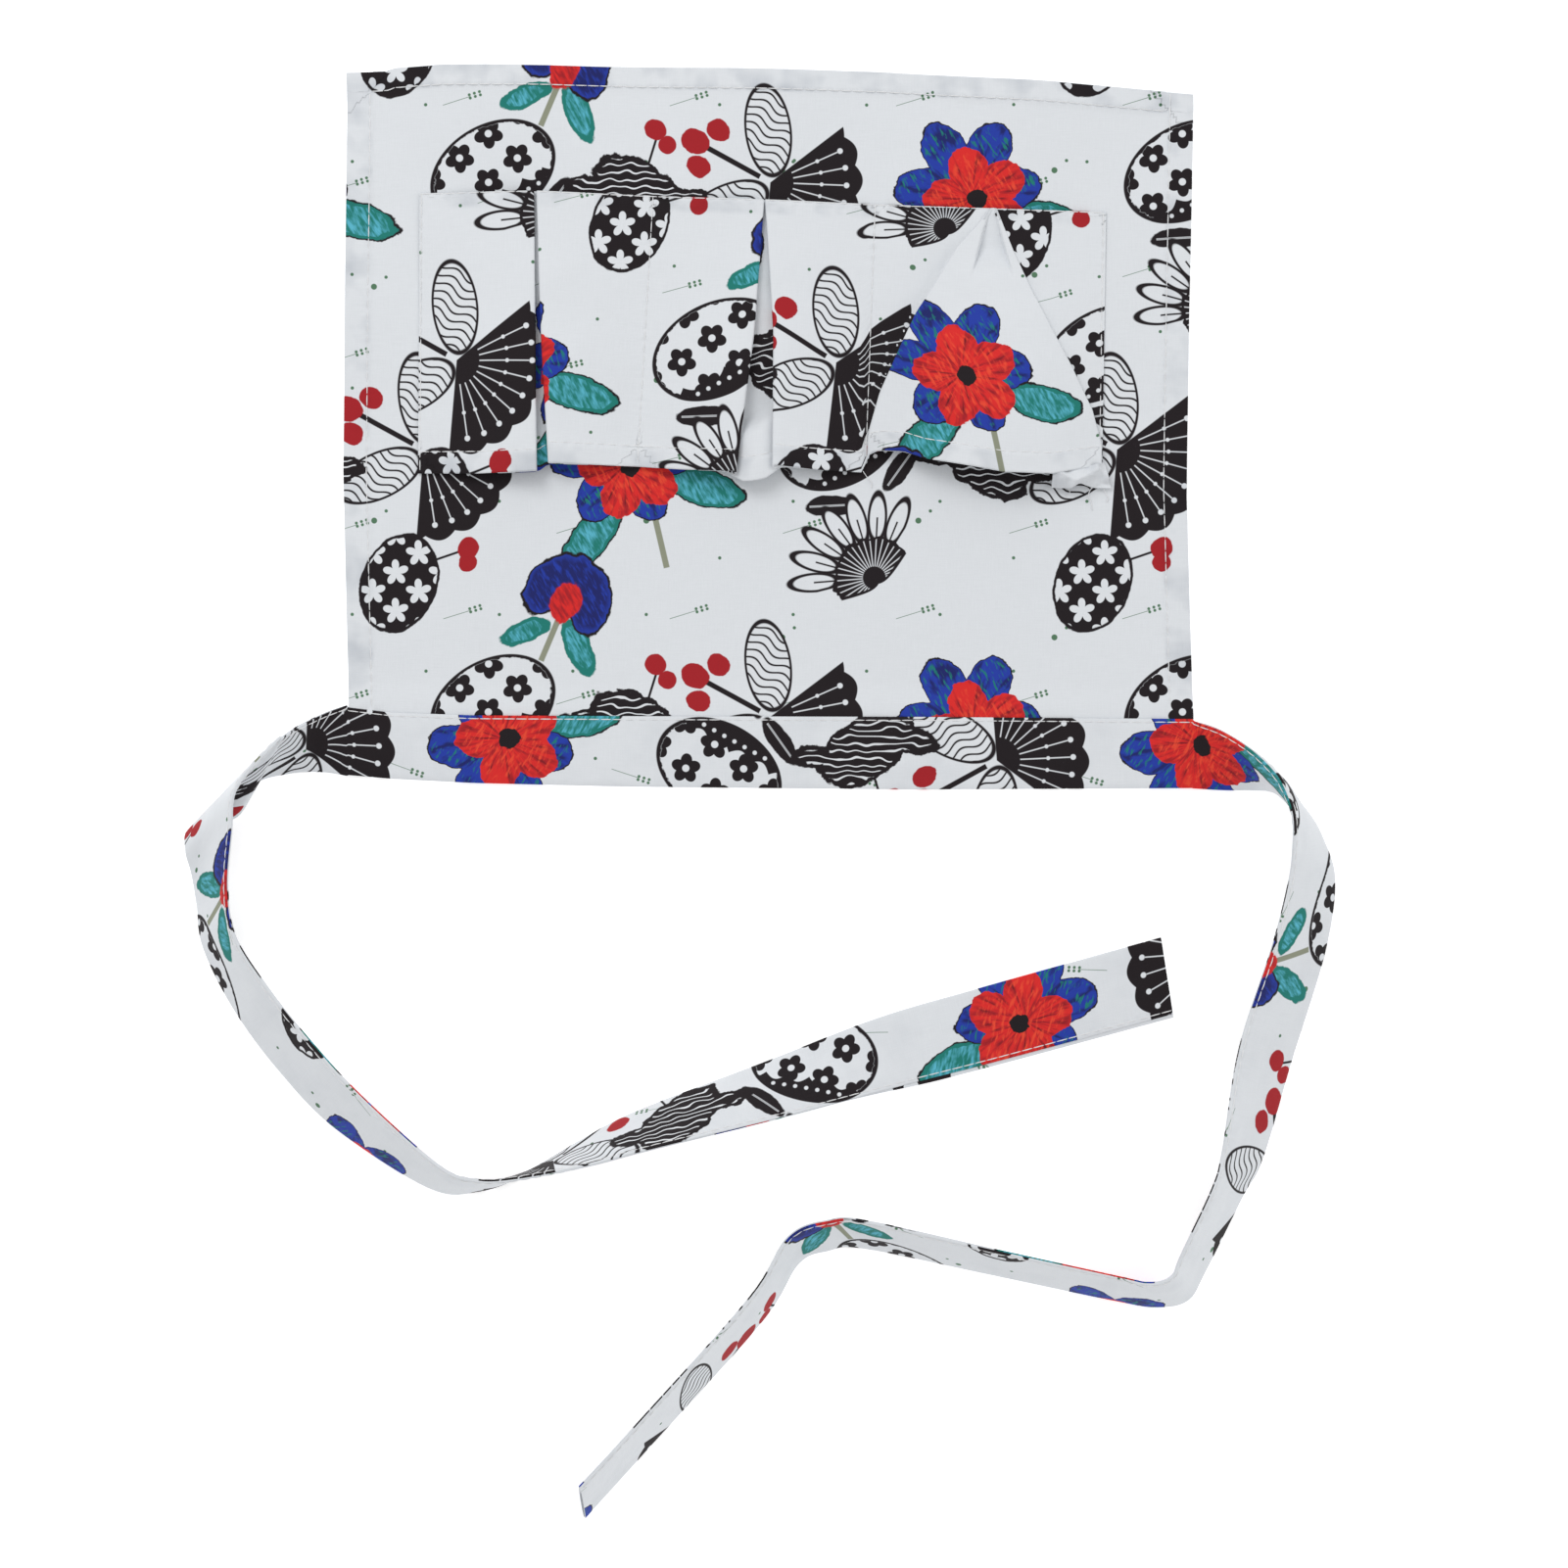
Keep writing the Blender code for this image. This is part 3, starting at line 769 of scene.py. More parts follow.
def petal_spray(place, edge):
    """A half round of long open petals over a dark striped leaf."""
    cell = motif(place, PETAL_SPRAY)
    reach, angle = polar(cell)
    wedge = (size_of(angle) - 1.19) * reach
    turned = number("WRAP", angle, 0.17, -0.17) * reach
    petal = (length(combine((reach - 21.0) * 0.105, turned * 0.29)) - 1.0) * 3.3
    petal = most(petal, wedge)
    leaf = most(reach - 14.0 + edge, wedge - 5.0)
    ray = from_lines(angle, 0.085) * reach
    return [
        (petal, BLACK),
        (petal + 0.85, WHITE),
        (most(size_of(turned) - 0.3, most(reach - 21.0, wedge)), BLACK),
        (leaf, BLACK),
        (most(ray - 0.17, most(leaf + 1.2, 4.0 - reach)), WHITE),
    ]


def dark_egg(place, edge):
    """A black egg with white star flowers and a sprig of berries."""
    cell = motif(place, DARK_EGG)
    egg = ellipse(cell, 0, 0, 17.5, 13.0, 0.3) + edge * 0.3
    star = flower(local(lattice(place, 6.0, 4.0, 19.0, 16.0), 0, 0, 1.0), 5.4, 5, 0.62)
    berries = ellipses(cell, (24, -11, 4, 3.6), (20, -14, 3.2, 3.2))
    return [
        (egg, BLACK),
        (most(star, egg + 0.9), WHITE),
        (bar(cell, 19, -8, 0.4, 6.0, 1.0), BLACK),
        (berries + edge * 0.3, DARK_RED),
    ]


def tulip(place, edge, streak):
    """A small blue tulip with a red heart, teal leaves and an olive stem."""
    cell = motif(place, TULIP)
    leaf = ellipses(cell, (9, -14, 10, 4, -0.8), (-8, -16, 8.5, 3.4, 0.8)) + edge * 0.4
    cup = ellipses(cell, (-6, 1, 11, 6.8, 1.2), (6, 1, 11, 6.8, -1.2), (0, 2, 6, 10.5)) + edge * 0.5
    heart = ellipse(cell, 0, -3, 4.6, 6.6) + edge * 0.6
    return [(bar(cell, 0, -15, 0.9, 7.5), OLIVE)] + leafy(leaf, streak, 1.1) + [
        (cup, BLUE),
        (most(cup + 0.8, (0.43 - streak) * 8.0), DARK_BLUE, 0.7),
        (outline(cup, 0.4), BLACK),
        (heart, RED),
        (most(heart + 0.4, (0.5 - streak) * 8.0), DARK_RED, 0.9),
    ]


def printed_design(place):
    """The whole print's colour at a place on the flat cloth, in millimetres."""
    edge = (noise(place, 0.16, 3.0) - 0.5) * 5.0
    streak = noise(vector("MULTIPLY", local(place, 0, 0, 0.5), (0.7, 0.17, 1.0)), 1.0)
    spots = lattice(place, 3.0, 2.0, 24.0, 20.0)
    rings = most(flower(local(spots, 0, 0, 0.4), 6.2), 1.5 - length(spots))
    curl = (0.9 - curls(place, 0.105, 5.5)) * 4.0
    layers = sprigs(place) + palmette(place, edge) + bloom(place, edge, streak)
    layers += large_egg(place, edge, rings) + curled_leaf(place, edge, curl)
    layers += petal_spray(place, edge) + dark_egg(place, edge) + tulip(place, edge, streak)
    colour = WHITE
    for layer in layers:
        colour = paint(colour, *layer)
    return colour


def cloth_material(name, printed):
    """Fine plain weave, with stitch lines, hems and, on the right side, the print."""
    material, shader = new_material(name)
    flat = Field(new_node("UVMap", {}, uv_map="cut").outputs[0])
    place = Field(new_node("VectorMath", {0: flat, "Scale": 1000.0}, operation="SCALE").outputs[0])
    marks = Field(new_node("Attribute", {}, attribute_name="marks").outputs["Vector"])
    away, along, layers = map(Field, new_node("SeparateXYZ", {0: marks}).outputs)

    # the layer below shows through a hem as soft grey
    ghost = layers * number("MULTIPLY_ADD", noise(place, 0.06), 3.2, -1.45, clamp=True)
    colour = mixed(ghost, printed_design(place) if printed else WHITE, SHOW_THROUGH, "MULTIPLY")
    threads = noise(vector("MULTIPLY", place, (ACROSS_THREADS, ALONG_THREADS, 1.0)), 1.0, 1.0)
    threads = threads + noise(vector("MULTIPLY", place, (ALONG_THREADS, ACROSS_THREADS, 1.0)), 1.0, 1.0)
    colour = mixed(1.0, colour, number("MULTIPLY_ADD", threads, 0.07, 0.93), "MULTIPLY")
    wire(shader.inputs["Base Color"], colour)

    x, y = split(place)
    weave = number("SINE", x * WEAVE) * number("SINE", y * WEAVE)
    slub = (threads - 1.0) * 1.6
    wrinkle = noise(place, 0.045, 3.0, 0.5)
    trough = number("EXPONENT", (away * away) * -1.6)
    dimple = number("COSINE", along * (2 * math.pi / (STITCH_PITCH * 1000)))
    dimple = number("MULTIPLY_ADD", dimple, 0.45, 0.6)
    pucker = noise(combine(along * 0.32, away * 0.06), 1.0, 1.0)
    near = number("EXPONENT", size_of(away) * -0.28)
    height = number("MULTIPLY_ADD", weave, 0.012, slub * 0.02)
    height = number("MULTIPLY_ADD", wrinkle, 0.9, height)
    height = number("MULTIPLY_ADD", trough * dimple, -0.22, height)
    height = number("MULTIPLY_ADD", pucker * near, 0.5, height)
    raise_surface(shader, height, 0.85, RELIEF)
    wire(shader.inputs["Roughness"], number("MULTIPLY_ADD", slub, 0.05, 0.78))
    shader.inputs["Sheen Weight"].default_value = 0.03
    shader.inputs["Sheen Roughness"].default_value = 0.5
    shader.inputs["Specular IOR Level"].default_value = 0.25
    return material


def raise_surface(shader, height, strength, distance):
    node = new_node("Bump", {"Strength": strength, "Distance": distance, "Height": height})
    wire(shader.inputs["Normal"], Field(node.outputs[0]))


def thread_material():
    material, shader = new_material("white_thread")
    place = Field(new_node("TexCoord", {}).outputs["Object"])
    wire(shader.inputs["Base Color"], mixed(noise(place, 900.0, 1.0), THREAD_GREY, THREAD_WHITE))
    raise_surface(shader, noise(place, 2500.0, 1.0), 0.5, RELIEF / 10)
    shader.inputs["Roughness"].default_value = 0.6
    return material


# Body panel

def band_seam(x):
    return BAND_WIDTH * column(BAND_SECTIONS, x / PANEL_WIDTH + 0.5, 1)


def band_fold(x):
    return BAND_WIDTH * column(BAND_SECTIONS, x / PANEL_WIDTH + 0.5, 2)


def panel_sides(y):
    """The panel's left and right edges at a height in the frame."""
    sides = []
    for table in (PANEL_LEFT, PANEL_RIGHT):
        xs, ys = zip(*[photo_point(px, py) for py, px in reversed(table)])
        sides.append(np.interp(y, ys, xs))
    return sides


def within(distance, edge, soft):
    """One below an edge and zero above it, with a soft step between."""
    return 1 - smooth((distance - edge) / soft)


def body_height(x, y, from_left, from_right, from_hem):
    """The middle of the body cloth above the floor."""
    on_band = within(y - band_seam(x), STEP_FROM, STEP_LENGTH)
    share = np.clip(x / PANEL_WIDTH + 0.5, 0, 1)
    wave = 0.5 - 0.5 * np.cos(2 * math.pi * HEM_WAVES * share)
    lift = HEM_WAVE_LIFT * wave * smooth((y - WAVES_FROM) / WAVES_LENGTH)
    side = np.minimum(from_left, from_right)
    hem = np.maximum(within(side, SIDE_HEM, HEM_SOFT), within(from_hem, 0.0078, HEM_SOFT))
    roll = 0.0005 * ripples(x, y, 0.085, 3)
    edge = np.exp(-side / 0.018) * (0.5 + 0.5 * ripples(x * 0.2, y, 0.055, 8)) * 0.0011
    from_stitches = np.abs(np.minimum(side, from_hem) - 0.009)
    tight = np.exp(-from_stitches / 0.003) * ripples(x, y, 0.013, 5) * 0.00012
    bends = lift + (HEM_GAP + 0.0001) * hem + (roll + edge) * (1 - on_band) + tight
    return BODY_FLOOR + STEP_RISE * on_band + bends


def apart(away, other):
    """Push a distance from a row of stitches out where another row is as near."""
    push = 12 * within(np.abs(np.abs(away) - np.abs(other)), 0.0, 9)
    return away + np.where(away < 0, -push, push)


def body_marks(points):
    x, y = points[..., 0], points[..., 1]
    left, right = panel_sides(y)
    from_side = np.minimum(x - left, right - x)
    from_hem = photo_line(PANEL_HEM, x) - y
    to_side = (from_side - SIDE_STITCH) * 1000
    to_hem = (from_hem - HEM_STITCH) * 1000
    nearer = np.abs(to_side) < np.abs(to_hem)
    away = np.where(nearer, apart(to_side, to_hem), apart(to_hem, to_side))
    layers = np.maximum(within(from_side, 0.0095, 0.001), within(from_hem, 0.0083, 0.001))
    return stacked(away, np.where(nearer, y, x) * 1000, layers)


def body_cloth():
    """The panel with its side hems turned under, and the turned lower hem between them."""
    rows = steps_between(*BODY_ROWS)
    side = steps_between(*BODY_COLUMNS)
    s, t = np.meshgrid(side, rows)
    corner = photo_point(*PANEL_HEM[0])[1]
    tall = corner + BAND_OVERLAP
    left, right = panel_sides(tall * t - BAND_OVERLAP)
    x = left + (right - left) * s
    top = photo_line(PANEL_HEM, x)
    y = (top + BAND_OVERLAP) * t - BAND_OVERLAP
    grid = stacked(x, y, body_height(x, y, x - left, right - x, top - y))
    flat = stacked(x, y)
    inner = (side > SIDE_HEM_SHARE) & (side < 1 - SIDE_HEM_SHARE)
    between = np.ix_((1 - rows) * tall <= LOW_HEM, inner)
    lower, lower_flat = grid[between] - np.array([0, 0, HEM_GAP]), flat[between]
    grid, flat = fold_under(grid, flat, SIDE_HEM, HEM_GAP, 1)
    grid, flat = fold_under(grid[:, ::-1], flat[:, ::-1], SIDE_HEM, HEM_GAP, -1)
    grid, flat = grid[:, ::-1], flat[:, ::-1]
    turned = np.concatenate([lower, lower[-1:] + np.array([0, 0.0002, HEM_GAP * 0.45])], axis=0)
    turned_flat = np.concatenate([2 * lower_flat[-1:] - lower_flat, lower_flat[-1:]], axis=0)
    return [(grid, flat, body_marks(grid)), (turned, turned_flat, body_marks(turned))]


def body_lines():
    """The stitch lines along the side hems and the lower hem."""
    ys = np.linspace(*SIDE_LINE_STEPS)
    left, right = panel_sides(ys)
    xs = np.linspace(*HEM_LINE_STEPS)
    return [(left + SIDE_STITCH, ys), (right - SIDE_STITCH, ys), (xs, photo_line(PANEL_HEM, xs) - HEM_STITCH)]


def body_line(xs, ys, step=0.0008):
    """A stitch line's points on top of the body cloth, with its normals."""
    def height(x, y):
        left, right = panel_sides(y)
        return body_height(x, y, x - left, right - x, photo_line(PANEL_HEM, x) - y)

    z = height(xs, ys)
    slope_x = (height(xs + step, ys) - height(xs - step, ys)) / (2 * step)
    slope_y = (height(xs, ys + step) - height(xs, ys - step)) / (2 * step)
    normals = unit(stacked(-slope_x, -slope_y, 1.0))
    return stacked(xs, ys, z) + normals * THICK / 2, normals


# Pockets

def turn(x, level_from, level_to, side, steps=6):
    """A fold seen end on, bulging to one side, as (x, level) pairs."""
    radius = np.abs(level_to - level_from) / 2
    centre = (level_from + level_to) / 2
    sign = np.sign(level_to - level_from)
    return [
        (x + side * (math.sin(angle) - 1) * radius, centre - sign * math.cos(angle) * radius)
        for angle in (math.pi * k / steps for k in range(steps + 1))
    ]


def run(x_from, x_to, level_from, level_to, count):
    """Pairs strictly between two ends."""
    shares = [k / (count + 1) for k in range(1, count + 1)]
    return [
        (x_from + (x_to - x_from) * share, level_from + (level_to - level_from) * float(smooth(share)))
        for share in shares
    ]


def read_pairs(pairs, share):
    """Read a line of (share, px) pairs, in metres."""
    return metres(float(np.interp(share, [p[0] for p in pairs], [p[1] for p in pairs])))


def pleat(ends, outer, inner, levels, counts, lead):
    """A pocket's cloth in five stretches: a panel, a hidden turn, the middle, a hidden turn
    and a panel. The panels end at the outer folds, and the middle lies between the inner."""
    (start, end), (left, right), (inner_left, inner_right) = ends, outer, inner
    panel, under = levels
    centre = (panel + under) / 2
    middle = turn(inner_left, centre, under, -1) + run(inner_left, inner_right, under, under, counts[1])
    return [
        [(start, LOW)] + run(start, left - lead, LOW, panel, counts[0]) + turn(left, panel, centre, 1),
        run(left - lead, inner_left, centre, centre, 3),
        middle + turn(inner_right, under, centre, 1),
        run(inner_right, right + lead, centre, centre, 3),
        turn(right, centre, panel, -1) + run(right + lead, end, panel, LOW, counts[2]) + [(end, LOW)],
    ]


def laid_pleat(index, share, ends):
    """A pleat whose two folds fall open over the cloth beneath."""
    left, right = (read_pairs(edge, share) for edge in PLEAT_EDGES[index])
    inner = (left - PLEAT_DEPTH, right + PLEAT_DEPTH)
    return pleat(ends, (left, right), inner, (HIGH, LOW), (18, 14, 18), FOLD_RUN)


def popped_edges(share, ends):
    """The left and right folds of the flap that the third pleat has popped out into."""
    left = max(read_pairs(POPPED_LEFT, share), ends[0] + FOLD_RUN)
    return left, min(read_pairs(POPPED_RIGHT, share), ends[1] - FOLD_RUN)


def popped_pleat(share, ends):
    """The third pleat, whose middle lies over the pocket as a triangular flap."""
    left, right = popped_edges(share, ends)
    depth = 0.0008 + PLEAT_DEPTH * float(smooth((share - 0.24) / 0.5))
    panel = HIGH - 0.0004 + (LOW + 0.0006 - HIGH) * float(smooth((share - 0.05) / 0.3))
    middle = (left + right) / 2
    outer = (min(left + depth, middle - 0.0003), max(right - depth, middle + 0.0003))
    return pleat(ends, outer, (left, right), (panel, HIGH), (18, 50, 14), 0.0)


def dents_beside_flap(x, share, left):
    """The recess near the flap's apex, where the front still lies over it, and the valley beside it."""
    into = smooth((x - read_pairs(RECESS_LEFT, share)) / RECESS_WALL + 0.5)
    out = smooth((read_pairs(RECESS_RIGHT, share) - x) / RECESS_WALL + 0.5)
    recess = into * out * min(share / 0.14, 1.0) * float(within(share, 0.15, 0.13))
    before = (left - FOLD_RUN - x) / VALLEY_WIDTH
    beside = np.where(before > 0, 1 - smooth(before), 0.0)
    valley = beside * float(smooth(share / 0.2) * within(share, 0.6, 0.3))
    return RECESS_DEPTH * recess + VALLEY_DEPTH * valley


def pocket_section(index, share):
    """One pocket's cloth as rows of x, level and flat x, from its left seam to its right.
    The left panel, the middle and the right panel each keep their own place on the flat
    cloth, and the hidden turns between them take up what is left."""
    ends = [metres(sewn + (mouth - sewn) * share) for sewn, mouth in POCKET_SEAMS[index:index + 2]]
    parts = laid_pleat(index, share, ends) if index < 2 else popped_pleat(share, ends)
    bounds = np.cumsum([0] + [len(part) for part in parts])
    pairs = np.array([pair for part in parts for pair in part])
    x, level = pairs.T
    walked = walked_along(pairs)
    total = POCKET_WIDTH + 4 * PLEAT_DEPTH
    middle = slice(bounds[2], bounds[3])
    flat = walked.copy()
    flat[bounds[4]:] = total - (walked[-1] - walked[bounds[4]:])
    flat[middle] = total / 2 + walked[middle] - (walked[bounds[2]] + walked[bounds[3] - 1]) / 2
    for k in (1, 3):
        gap = slice(bounds[k], bounds[k + 1])
        beside = [bounds[k] - 1, bounds[k + 1]]
        flat[gap] = np.interp(walked[gap], walked[beside], flat[beside])
    if index == 2:
        level = level - dents_beside_flap(x, share, popped_edges(share, ends)[0])
    return x, level, flat + index * total, np.clip((x - ends[0]) / (ends[1] - ends[0]), 0, 1)


def pocket_lift(index, across, share):
    return POCKET_LIFT * LIFT_SHARES[index] * np.sin(math.pi * across) ** 1.2 * smooth(share * 1.25)


def twisted_cloth(x, sunk, share):
    """The cloth under the second pleat, creased across and fallen out of the mouth."""
    place = (x - metres(TWIST_MIDDLE)) / (TWIST_HALF * PIXEL)
    near = np.exp(-place ** 4) * sunk
    flank = np.clip((share - TWIST_CREASE + 0.035 * place) / 0.05, 0, 1)
    fall = TWIST_DROP * near * float(smooth((share - TWIST_CREASE) / 0.2))
    return fall, near * (0.0034 * flank - 0.0020 * (1 - flank) * float(smooth((share - 0.52) / 0.26)))


def pocket_marks(u, across, share):
    to_hem = ((1 - share) * POCKET_DEPTH - MOUTH_STITCH) * 1000
    to_top = (share * POCKET_DEPTH - SEWN_STITCH) * 1000
    to_seam = np.minimum(across, 1 - across) * SEAM_SPAN - 0.5
    to_line = min((to_hem, to_top), key=abs)
    nearer = np.abs(to_seam) < abs(to_line)
    away = np.where(nearer, apart(to_seam, to_line), apart(to_line + 0 * u, to_seam))
    way = np.where(nearer, share * POCKET_DEPTH * 1000, u * 1000)
    return stacked(away, way, float(share > HEM_FROM or share < 0.05))


def pocket_row(share):
    """Points, flat places and marks of the three pockets at one share of their depth."""
    parts = []
    for index in range(3):
        x, level, u, across = pocket_section(index, share)
        if index < 2:
            # the last column is the next pocket's first
            x, level, u, across = x[:-1], level[:-1], u[:-1], across[:-1]
        sewn = photo_line(POCKET_SEWN, x)
        y = sewn + (photo_line(POCKET_MOUTH, x) - sewn) * share
        lift = pocket_lift(index, across, share)
        z = level + lift
        sunk = np.clip((HIGH - level) / (HIGH - LOW), 0, 1)
        if index < 2:
            z = z - 0.45 * sunk * np.sin(math.pi * across) ** 2 * lift
        if index == 1:
            fall, rise = twisted_cloth(x, sunk, share)
            y, z = y - fall, z + rise
        soft = np.sin(math.pi * across) ** 0.5 * smooth(share * 3)
        z = z + 0.0005 * smooth((share - 0.925) / 0.008) + 0.0007 * ripples(x, y, 0.034, 11 + index) * soft
        flat = stacked(u - 0.16, 0.40 - share * POCKET_DEPTH)
        parts.append((stacked(x, y, z), flat, pocket_marks(u, across, share)))
    return [np.concatenate(group) for group in zip(*parts)]


def pockets():
    """The strip's sheet, whose rows run towards the sewn edge so that it faces up."""
    rows = [pocket_row(share) for share in steps_between(*POCKET_STEPS)]
    return tuple(np.stack(group[::-1]) for group in zip(*rows))


def crumpled_corner():
    """The pockets' hem has come loose at its last corner and lies crumpled on the panel."""
    a, c = np.meshgrid(np.linspace(0, 1, 44), np.linspace(-1, 1, 19), indexing="ij")
    along, px, py, half, over_hem = zip(*CRUMPLE)
    half = np.interp(a, along, half)
    centre_x, centre_y = np.interp(a, along, px), np.interp(a, along, py)
    x, y = photo_point(centre_x + 0.28 * half * c * np.cos(a * 8.0), centre_y + half * c)
    ridge = 1 - np.abs(c + 0.5 * np.sin(a * 9.0)) * 1.5
    folds = 0.0020 * ridge + 0.0013 * ripples(x, y, 0.0065, 31) - 0.0022 * np.maximum(c, 0)
    z = np.maximum(np.interp(a, along, over_hem) + folds, 0.0030)
    flat = stacked(0.2 + 0.024 * a, 0.5 + 0.005 * c)
    marks = stacked(FAR, 0 * a, 0.6)
    return stacked(x, y, z), flat, marks, True


def loose_thread(stops, steps=5):
    """One thin thread end as a tube of six sides."""
    points = np.array([(*photo_point(px, py), high / 1000) for px, py, high in stops])
    dense = eased_line(points, steps)
    ahead = unit(np.gradient(dense, axis=0))
    side = unit(np.cross((0.0, 0.0, 1.0), ahead))
    above = np.cross(ahead, side)
    return [ring(*place, LOOSE_RADIUS) for place in zip(dense, side, above)]


def hemmed(grid, flat, marks, depth, outward):
    """Turn a sheet's last rows under."""
    sheets = fold_under(np.swapaxes(grid, 0, 1), np.swapaxes(flat, 0, 1), depth, POCKET_HEM_GAP, outward)
    grid_now, flat_now = (np.swapaxes(sheet, 0, 1) for sheet in sheets)
    more = np.repeat(marks[-1:], len(grid_now) - len(grid), axis=0)
    more[..., 0] = FAR
    return grid_now, flat_now, np.concatenate([marks, more])


def with_pocket_hems(*sheet):
    """Turn the sewn edge under, and the mouth along all its pleats."""
    sheet = hemmed(*sheet, SEWN_HEM, -1)
    sheet = hemmed(*[part[::-1] for part in sheet], MOUTH_HEM, 1)
    return tuple(part[::-1] for part in sheet)


# Band and ties, one folded strip

def curve_between(before, start, end, after, share):
    eased = float(smooth(share))
    leave = share * (1 - share) ** 2 / 2
    arrive = share * share * (share - 1) / 2
    return [
        b + (c - b) * eased + (c - a) * leave + (d - b) * arrive
        for a, b, c, d in zip(before, start, end, after)
    ]


def eased_line(stops, steps):
    """Points along a line that eases from each stop to the next."""
    last = len(stops) - 1
    dense = []
    for k in range(last):
        four = [stops[max(k - 1, 0)], stops[k], stops[k + 1], stops[min(k + 2, last)]]
        dense += [curve_between(*four, step / steps) for step in range(steps)]
    return np.array(dense + [stops[-1]])


def tie_edges(route, side, bow, reach, drop):
    """A tie's folded edge and its stitched edge, from the band outwards."""
    stations = []
    for out, down, lift, right, up, rise in route:
        away = PANEL_WIDTH / 2 + 0.0008 + out * (bow if out > 0 else reach)
        fold = Vector((side * away, -down * drop, lift * TIE_WIDTH + TIE_THICKNESS / 2))
        stations.append((*fold, *(fold + TIE_WIDTH * Vector((right, up, rise)))))
    dense = eased_line(stations, 9)
    return dense[:, :3], dense[:, 3:]


def strip_edges():
    """The strip's folded and stitched edges, from the left tie's tip over the band to the
    right tie's tip, and the numbers of the band's first and last point."""
    left = tie_edges(LEFT_ROUTE, -1, LEFT_BOW, LEFT_RUN, LEFT_DROP)
    right = tie_edges(RIGHT_ROUTE, 1, RIGHT_BOW, RIGHT_RUN, RIGHT_DROP)
    xs = np.linspace(-PANEL_WIDTH / 2, PANEL_WIDTH / 2, 90)
    band = [stacked(xs, edge(xs), 0.001) for edge in (band_fold, band_seam)]
    folded, stitched = (np.concatenate([left[k][::-1], band[k], right[k]]) for k in (0, 1))
    return folded, stitched, len(left[0]), len(left[0]) + len(xs) - 1


def strip_profile(width, gap, crown):
    """Half of the strip's cross-section as (place across, height) pairs, from the raw edge
    inside the seam, over the seam, to the fold."""
    inside = gap - 2 * SEAM_RADIUS
    pairs = [(width - place, inside) for place in TURNED_IN]
    for k in range(1, 5):
        angle = math.pi * k / 5
        place = width - 0.0004 + SEAM_RADIUS * math.sin(angle)
        pairs.append((place, inside + SEAM_RADIUS * (1 - math.cos(angle))))
    for share in PROFILE_SHARES:
        pairs.append((width * share, gap + crown * math.sin(math.pi * share) ** 0.8))
    return pairs


def strip_section(width, near_band, crown):
    """The whole cross-section. The band is roomier than the ties and thins towards its fold."""
    front = strip_profile(width, STRIP_GAP + BAND_ROOM * near_band, crown)
    gap = STRIP_GAP + 0.0002 * near_band
    angles = [math.pi * k / 8 for k in range(1, 8)]
    fold = [(FOLD_BULGE * (1 - math.sin(angle)), gap * math.cos(angle)) for angle in angles]
    path = np.array(front + fold + [(place, -height) for place, height in reversed(front)])
    path[:, 1] *= 1 - 0.35 * near_band * within(path[:, 0], 0.0008, 0.012)
    return path


def strip():
    """The sheet of the band and both ties."""
    folded, stitched, first, last = strip_edges()
    across = stitched - folded
    along = np.gradient(folded + stitched, axis=0)
    along[first - 3:first + 1] = (1, 0, 0)
    along[last:last + 4] = (1, 0, 0)
    normal = unit(np.cross(along, across))
    walked = walked_along((folded + stitched) / 2)
    beyond = np.maximum(np.maximum(walked[first] - walked, walked - walked[last]), 0)
    near_band = within(beyond, 0, 0.02)
    neck = np.exp(-((walked - walked[last + 1] - NECK_PLACE) / NECK_LENGTH) ** 2)
    soft = 0.00018 * ripples(walked, 0.0, 0.05, 21)
    crown = (STRIP_CROWN + NECK_CROWN * neck + soft) * (1 - near_band)
    peek = BACK_PEEK * within(walked, 0.10, 0.05)
    rows = []
    for k, way in enumerate(walked):
        width = float(np.linalg.norm(across[k]))
        path = strip_section(width, near_band[k], crown[k])
        place, height = path[:, :1], path[:, 1:]
        behind = np.clip(-np.sign(normal[k, 2]) * height / 0.0004, 0, 1)
        points = folded[k] + across[k] * place * (1 + peek[k] * behind / width) / width + normal[k] * height
        lift = max(0.0, folded[k, 2] - TIE_THICKNESS / 2)
        points[:, 2] += lift + 0.0003 + THICK / 2 - points[:, 2].min()
        v = walked_along(path)
        v -= v[-1] / 2
        flat = stacked(way + 0.31, v + 0.9)
        from_stitches = (width - path[:, 0] - STRIP_STITCH) * 1000
        marks = stacked(from_stitches, way * 1000, 0.25)
        rows.append((points, flat, marks))
    return tuple(np.stack(group) for group in zip(*rows))


def strip_stitch_line(grid, side):
    """The line of stitches near the sewn edge, on the front or on the back."""
    pick = SEAM_COLUMN if side > 0 else grid.shape[1] - 1 - SEAM_COLUMN
    normals = normals_of(grid)[:, pick]
    return grid[:, pick] + normals * THICK / 2, normals


# Pocket stitches

def visible_runs(points, normals):
    """Stitches on the stretches of a row that face up."""
    made = []
    start = 0
    steps = np.diff(points[:, 0])
    for k in range(len(points)):
        ends = k == len(points) - 1 or steps[k] < 0.00005 or normals[k, 2] < 0.5
        if not ends:
            continue
        stretch = slice(start, k + 1)
        long_enough = k - start > 4 and np.linalg.norm(points[k] - points[start]) > 0.008
        if long_enough and points[stretch, 2].mean() > 0.003:
            made += stitches_along(points[stretch], normals[stretch])
        start = k + 1
    return made


def seam_columns(grid):
    """The columns that lie on the pockets' seams."""
    places = grid[:, :, 0].mean(axis=0)
    level = grid[len(grid) // 2, :, 2]
    targets = [metres((at_sewn + at_mouth) / 2) for at_sewn, at_mouth in POCKET_SEAMS]
    return [int(np.argmin(np.abs(places - target) + 10 * np.abs(level - level.min()))) for target in targets]


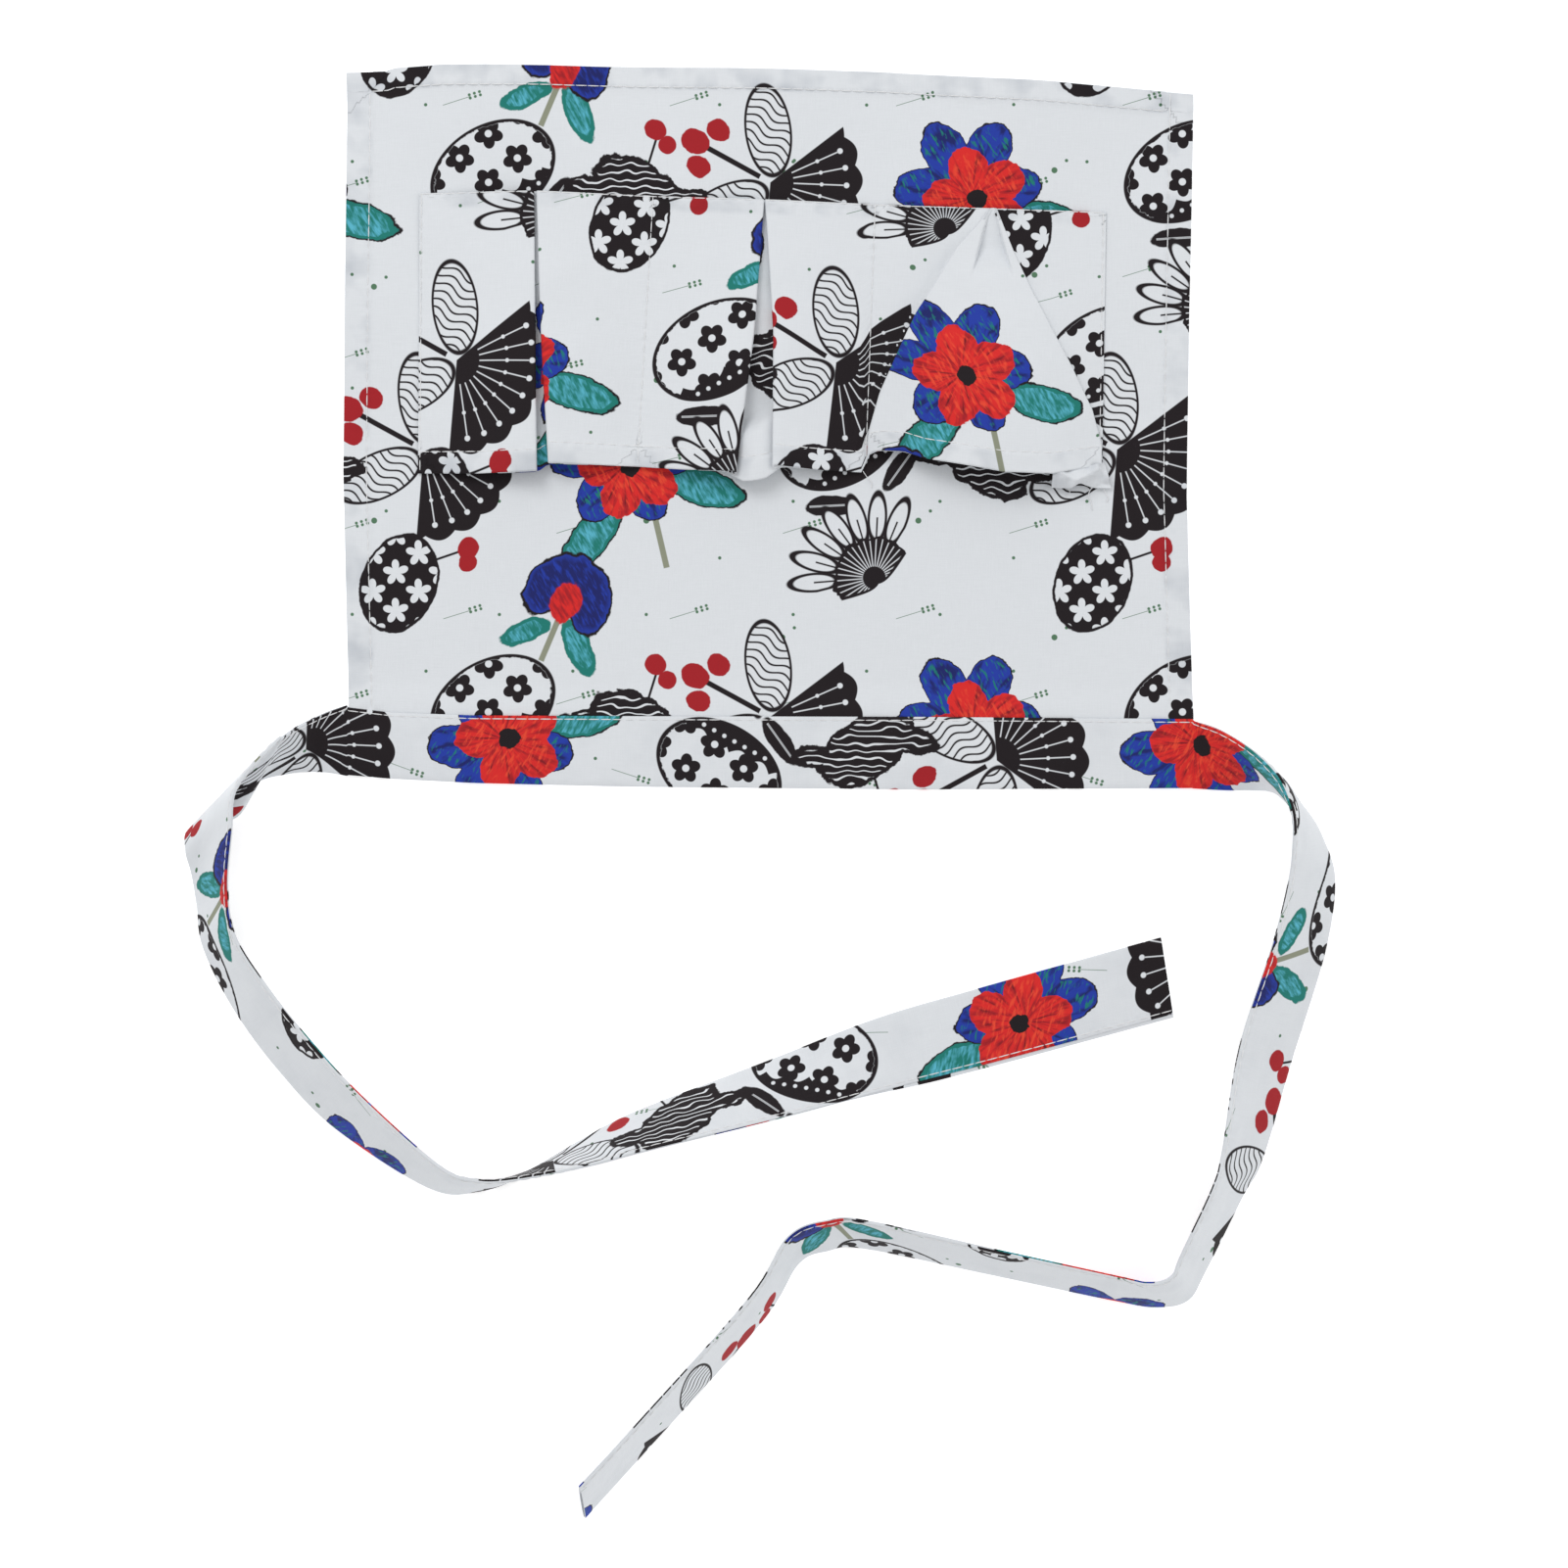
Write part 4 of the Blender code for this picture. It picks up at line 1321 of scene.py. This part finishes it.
def pocket_stitches(grid):
    """Stitches along the sewn edge, the mouth's hem and the four seams."""
    normals = normals_of(grid)
    top = grid + normals * THICK / 2
    shares = steps_between(*POCKET_STEPS)
    threads = []
    for share in (0.0, HEM_FROM):
        row = len(grid) - 1 - int(np.argmin(np.abs(shares - share)))
        threads += visible_runs(top[row], normals[row])
    for seam, shift in zip(seam_columns(grid), SEAM_SHIFTS):
        points = top[::-1, seam] + np.array([shift, 0, 0.0001])
        threads += stitches_along(points, 0 * points + np.array([0, 0, 1.0]))
    return threads


# Floor, light and camera

def plain_material(name, colour, glow):
    material, shader = new_material(name)
    shader.inputs["Base Color"].default_value = (*colour, 1)
    shader.inputs["Roughness"].default_value = 0.9
    shader.inputs["Specular IOR Level"].default_value = 0.0
    shader.inputs["Emission Color"].default_value = (1, 1, 1, 1)
    shader.inputs["Emission Strength"].default_value = glow
    return material


def floor_and_world():
    data = bpy.data.meshes.new("floor")
    size = 4.0
    corners = [(-size, -size, 0), (size, -size, 0), (size, size, 0), (-size, size, 0)]
    data.from_pydata(corners, [], [(0, 1, 2, 3)])
    data.materials.append(plain_material("floor_white", (0.9, 0.9, 0.9), 0.5))
    floor = link_piece("floor", data)
    floor.location.z = -0.0002
    world = bpy.data.worlds.new("studio")
    world.use_nodes = True
    background = world.node_tree.nodes["Background"]
    background.inputs[0].default_value = (1, 1, 1, 1)
    background.inputs[1].default_value = 0.66
    bpy.context.scene.world = world


def lamps():
    for name, place, size, power in LAMPS:
        light = bpy.data.lights.new(name, "AREA")
        light.shape = "SQUARE"
        light.size = size
        light.energy = power
        lamp = link_piece(name, light)
        lamp.location = place
        aim = Vector((0, 0.02, 0)) - Vector(place)
        lamp.rotation_euler = aim.to_track_quat("-Z", "Y").to_euler()


def camera():
    data = bpy.data.cameras.new("camera")
    data.lens = LENS
    data.sensor_width = 36
    data.clip_end = 20
    eye = link_piece("camera", data)
    x, y = photo_point(*PHOTO_CENTRE)
    eye.location = (x + OFFSET[0], y + OFFSET[1], EYE_HEIGHT)
    bpy.context.scene.camera = eye


def studio():
    view = bpy.context.scene.view_settings
    view.view_transform = "Standard"
    view.look = "None"
    floor_and_world()
    lamps()
    camera()


def main():
    studio()
    cloth = [cloth_material("printed_cloth", True), cloth_material("cloth_wrong_side", False)]
    thread = thread_material()
    body = cloth_piece("apron_body", body_cloth(), cloth)
    threads = []
    for line in body_lines():
        threads += stitches_along(*body_line(*line))

    sheet = pockets()
    pocket = cloth_piece("apron_pockets", [with_pocket_hems(*sheet), crumpled_corner()], cloth)
    threads += [loose_thread(stops) for stops in LOOSE_THREADS]
    threads += pocket_stitches(sheet[0])

    folded_strip = strip()
    ribbon = cloth_piece("apron_strip", [folded_strip], cloth)
    for side in (1, -1):
        threads += stitches_along(*strip_stitch_line(folded_strip[0], side))
    stitching = thread_piece("apron_stitching", threads, thread)

    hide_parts("body_panel")
    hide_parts("pocket_strip")
    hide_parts("waistband", "tie_left", "tie_right")
    pieces = (body, pocket, ribbon, stitching)
    for piece, slot in zip(pieces, ("panel_cloth", "pocket_cloth", "strip_cloth", "thread")):
        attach(piece, "root")


main()
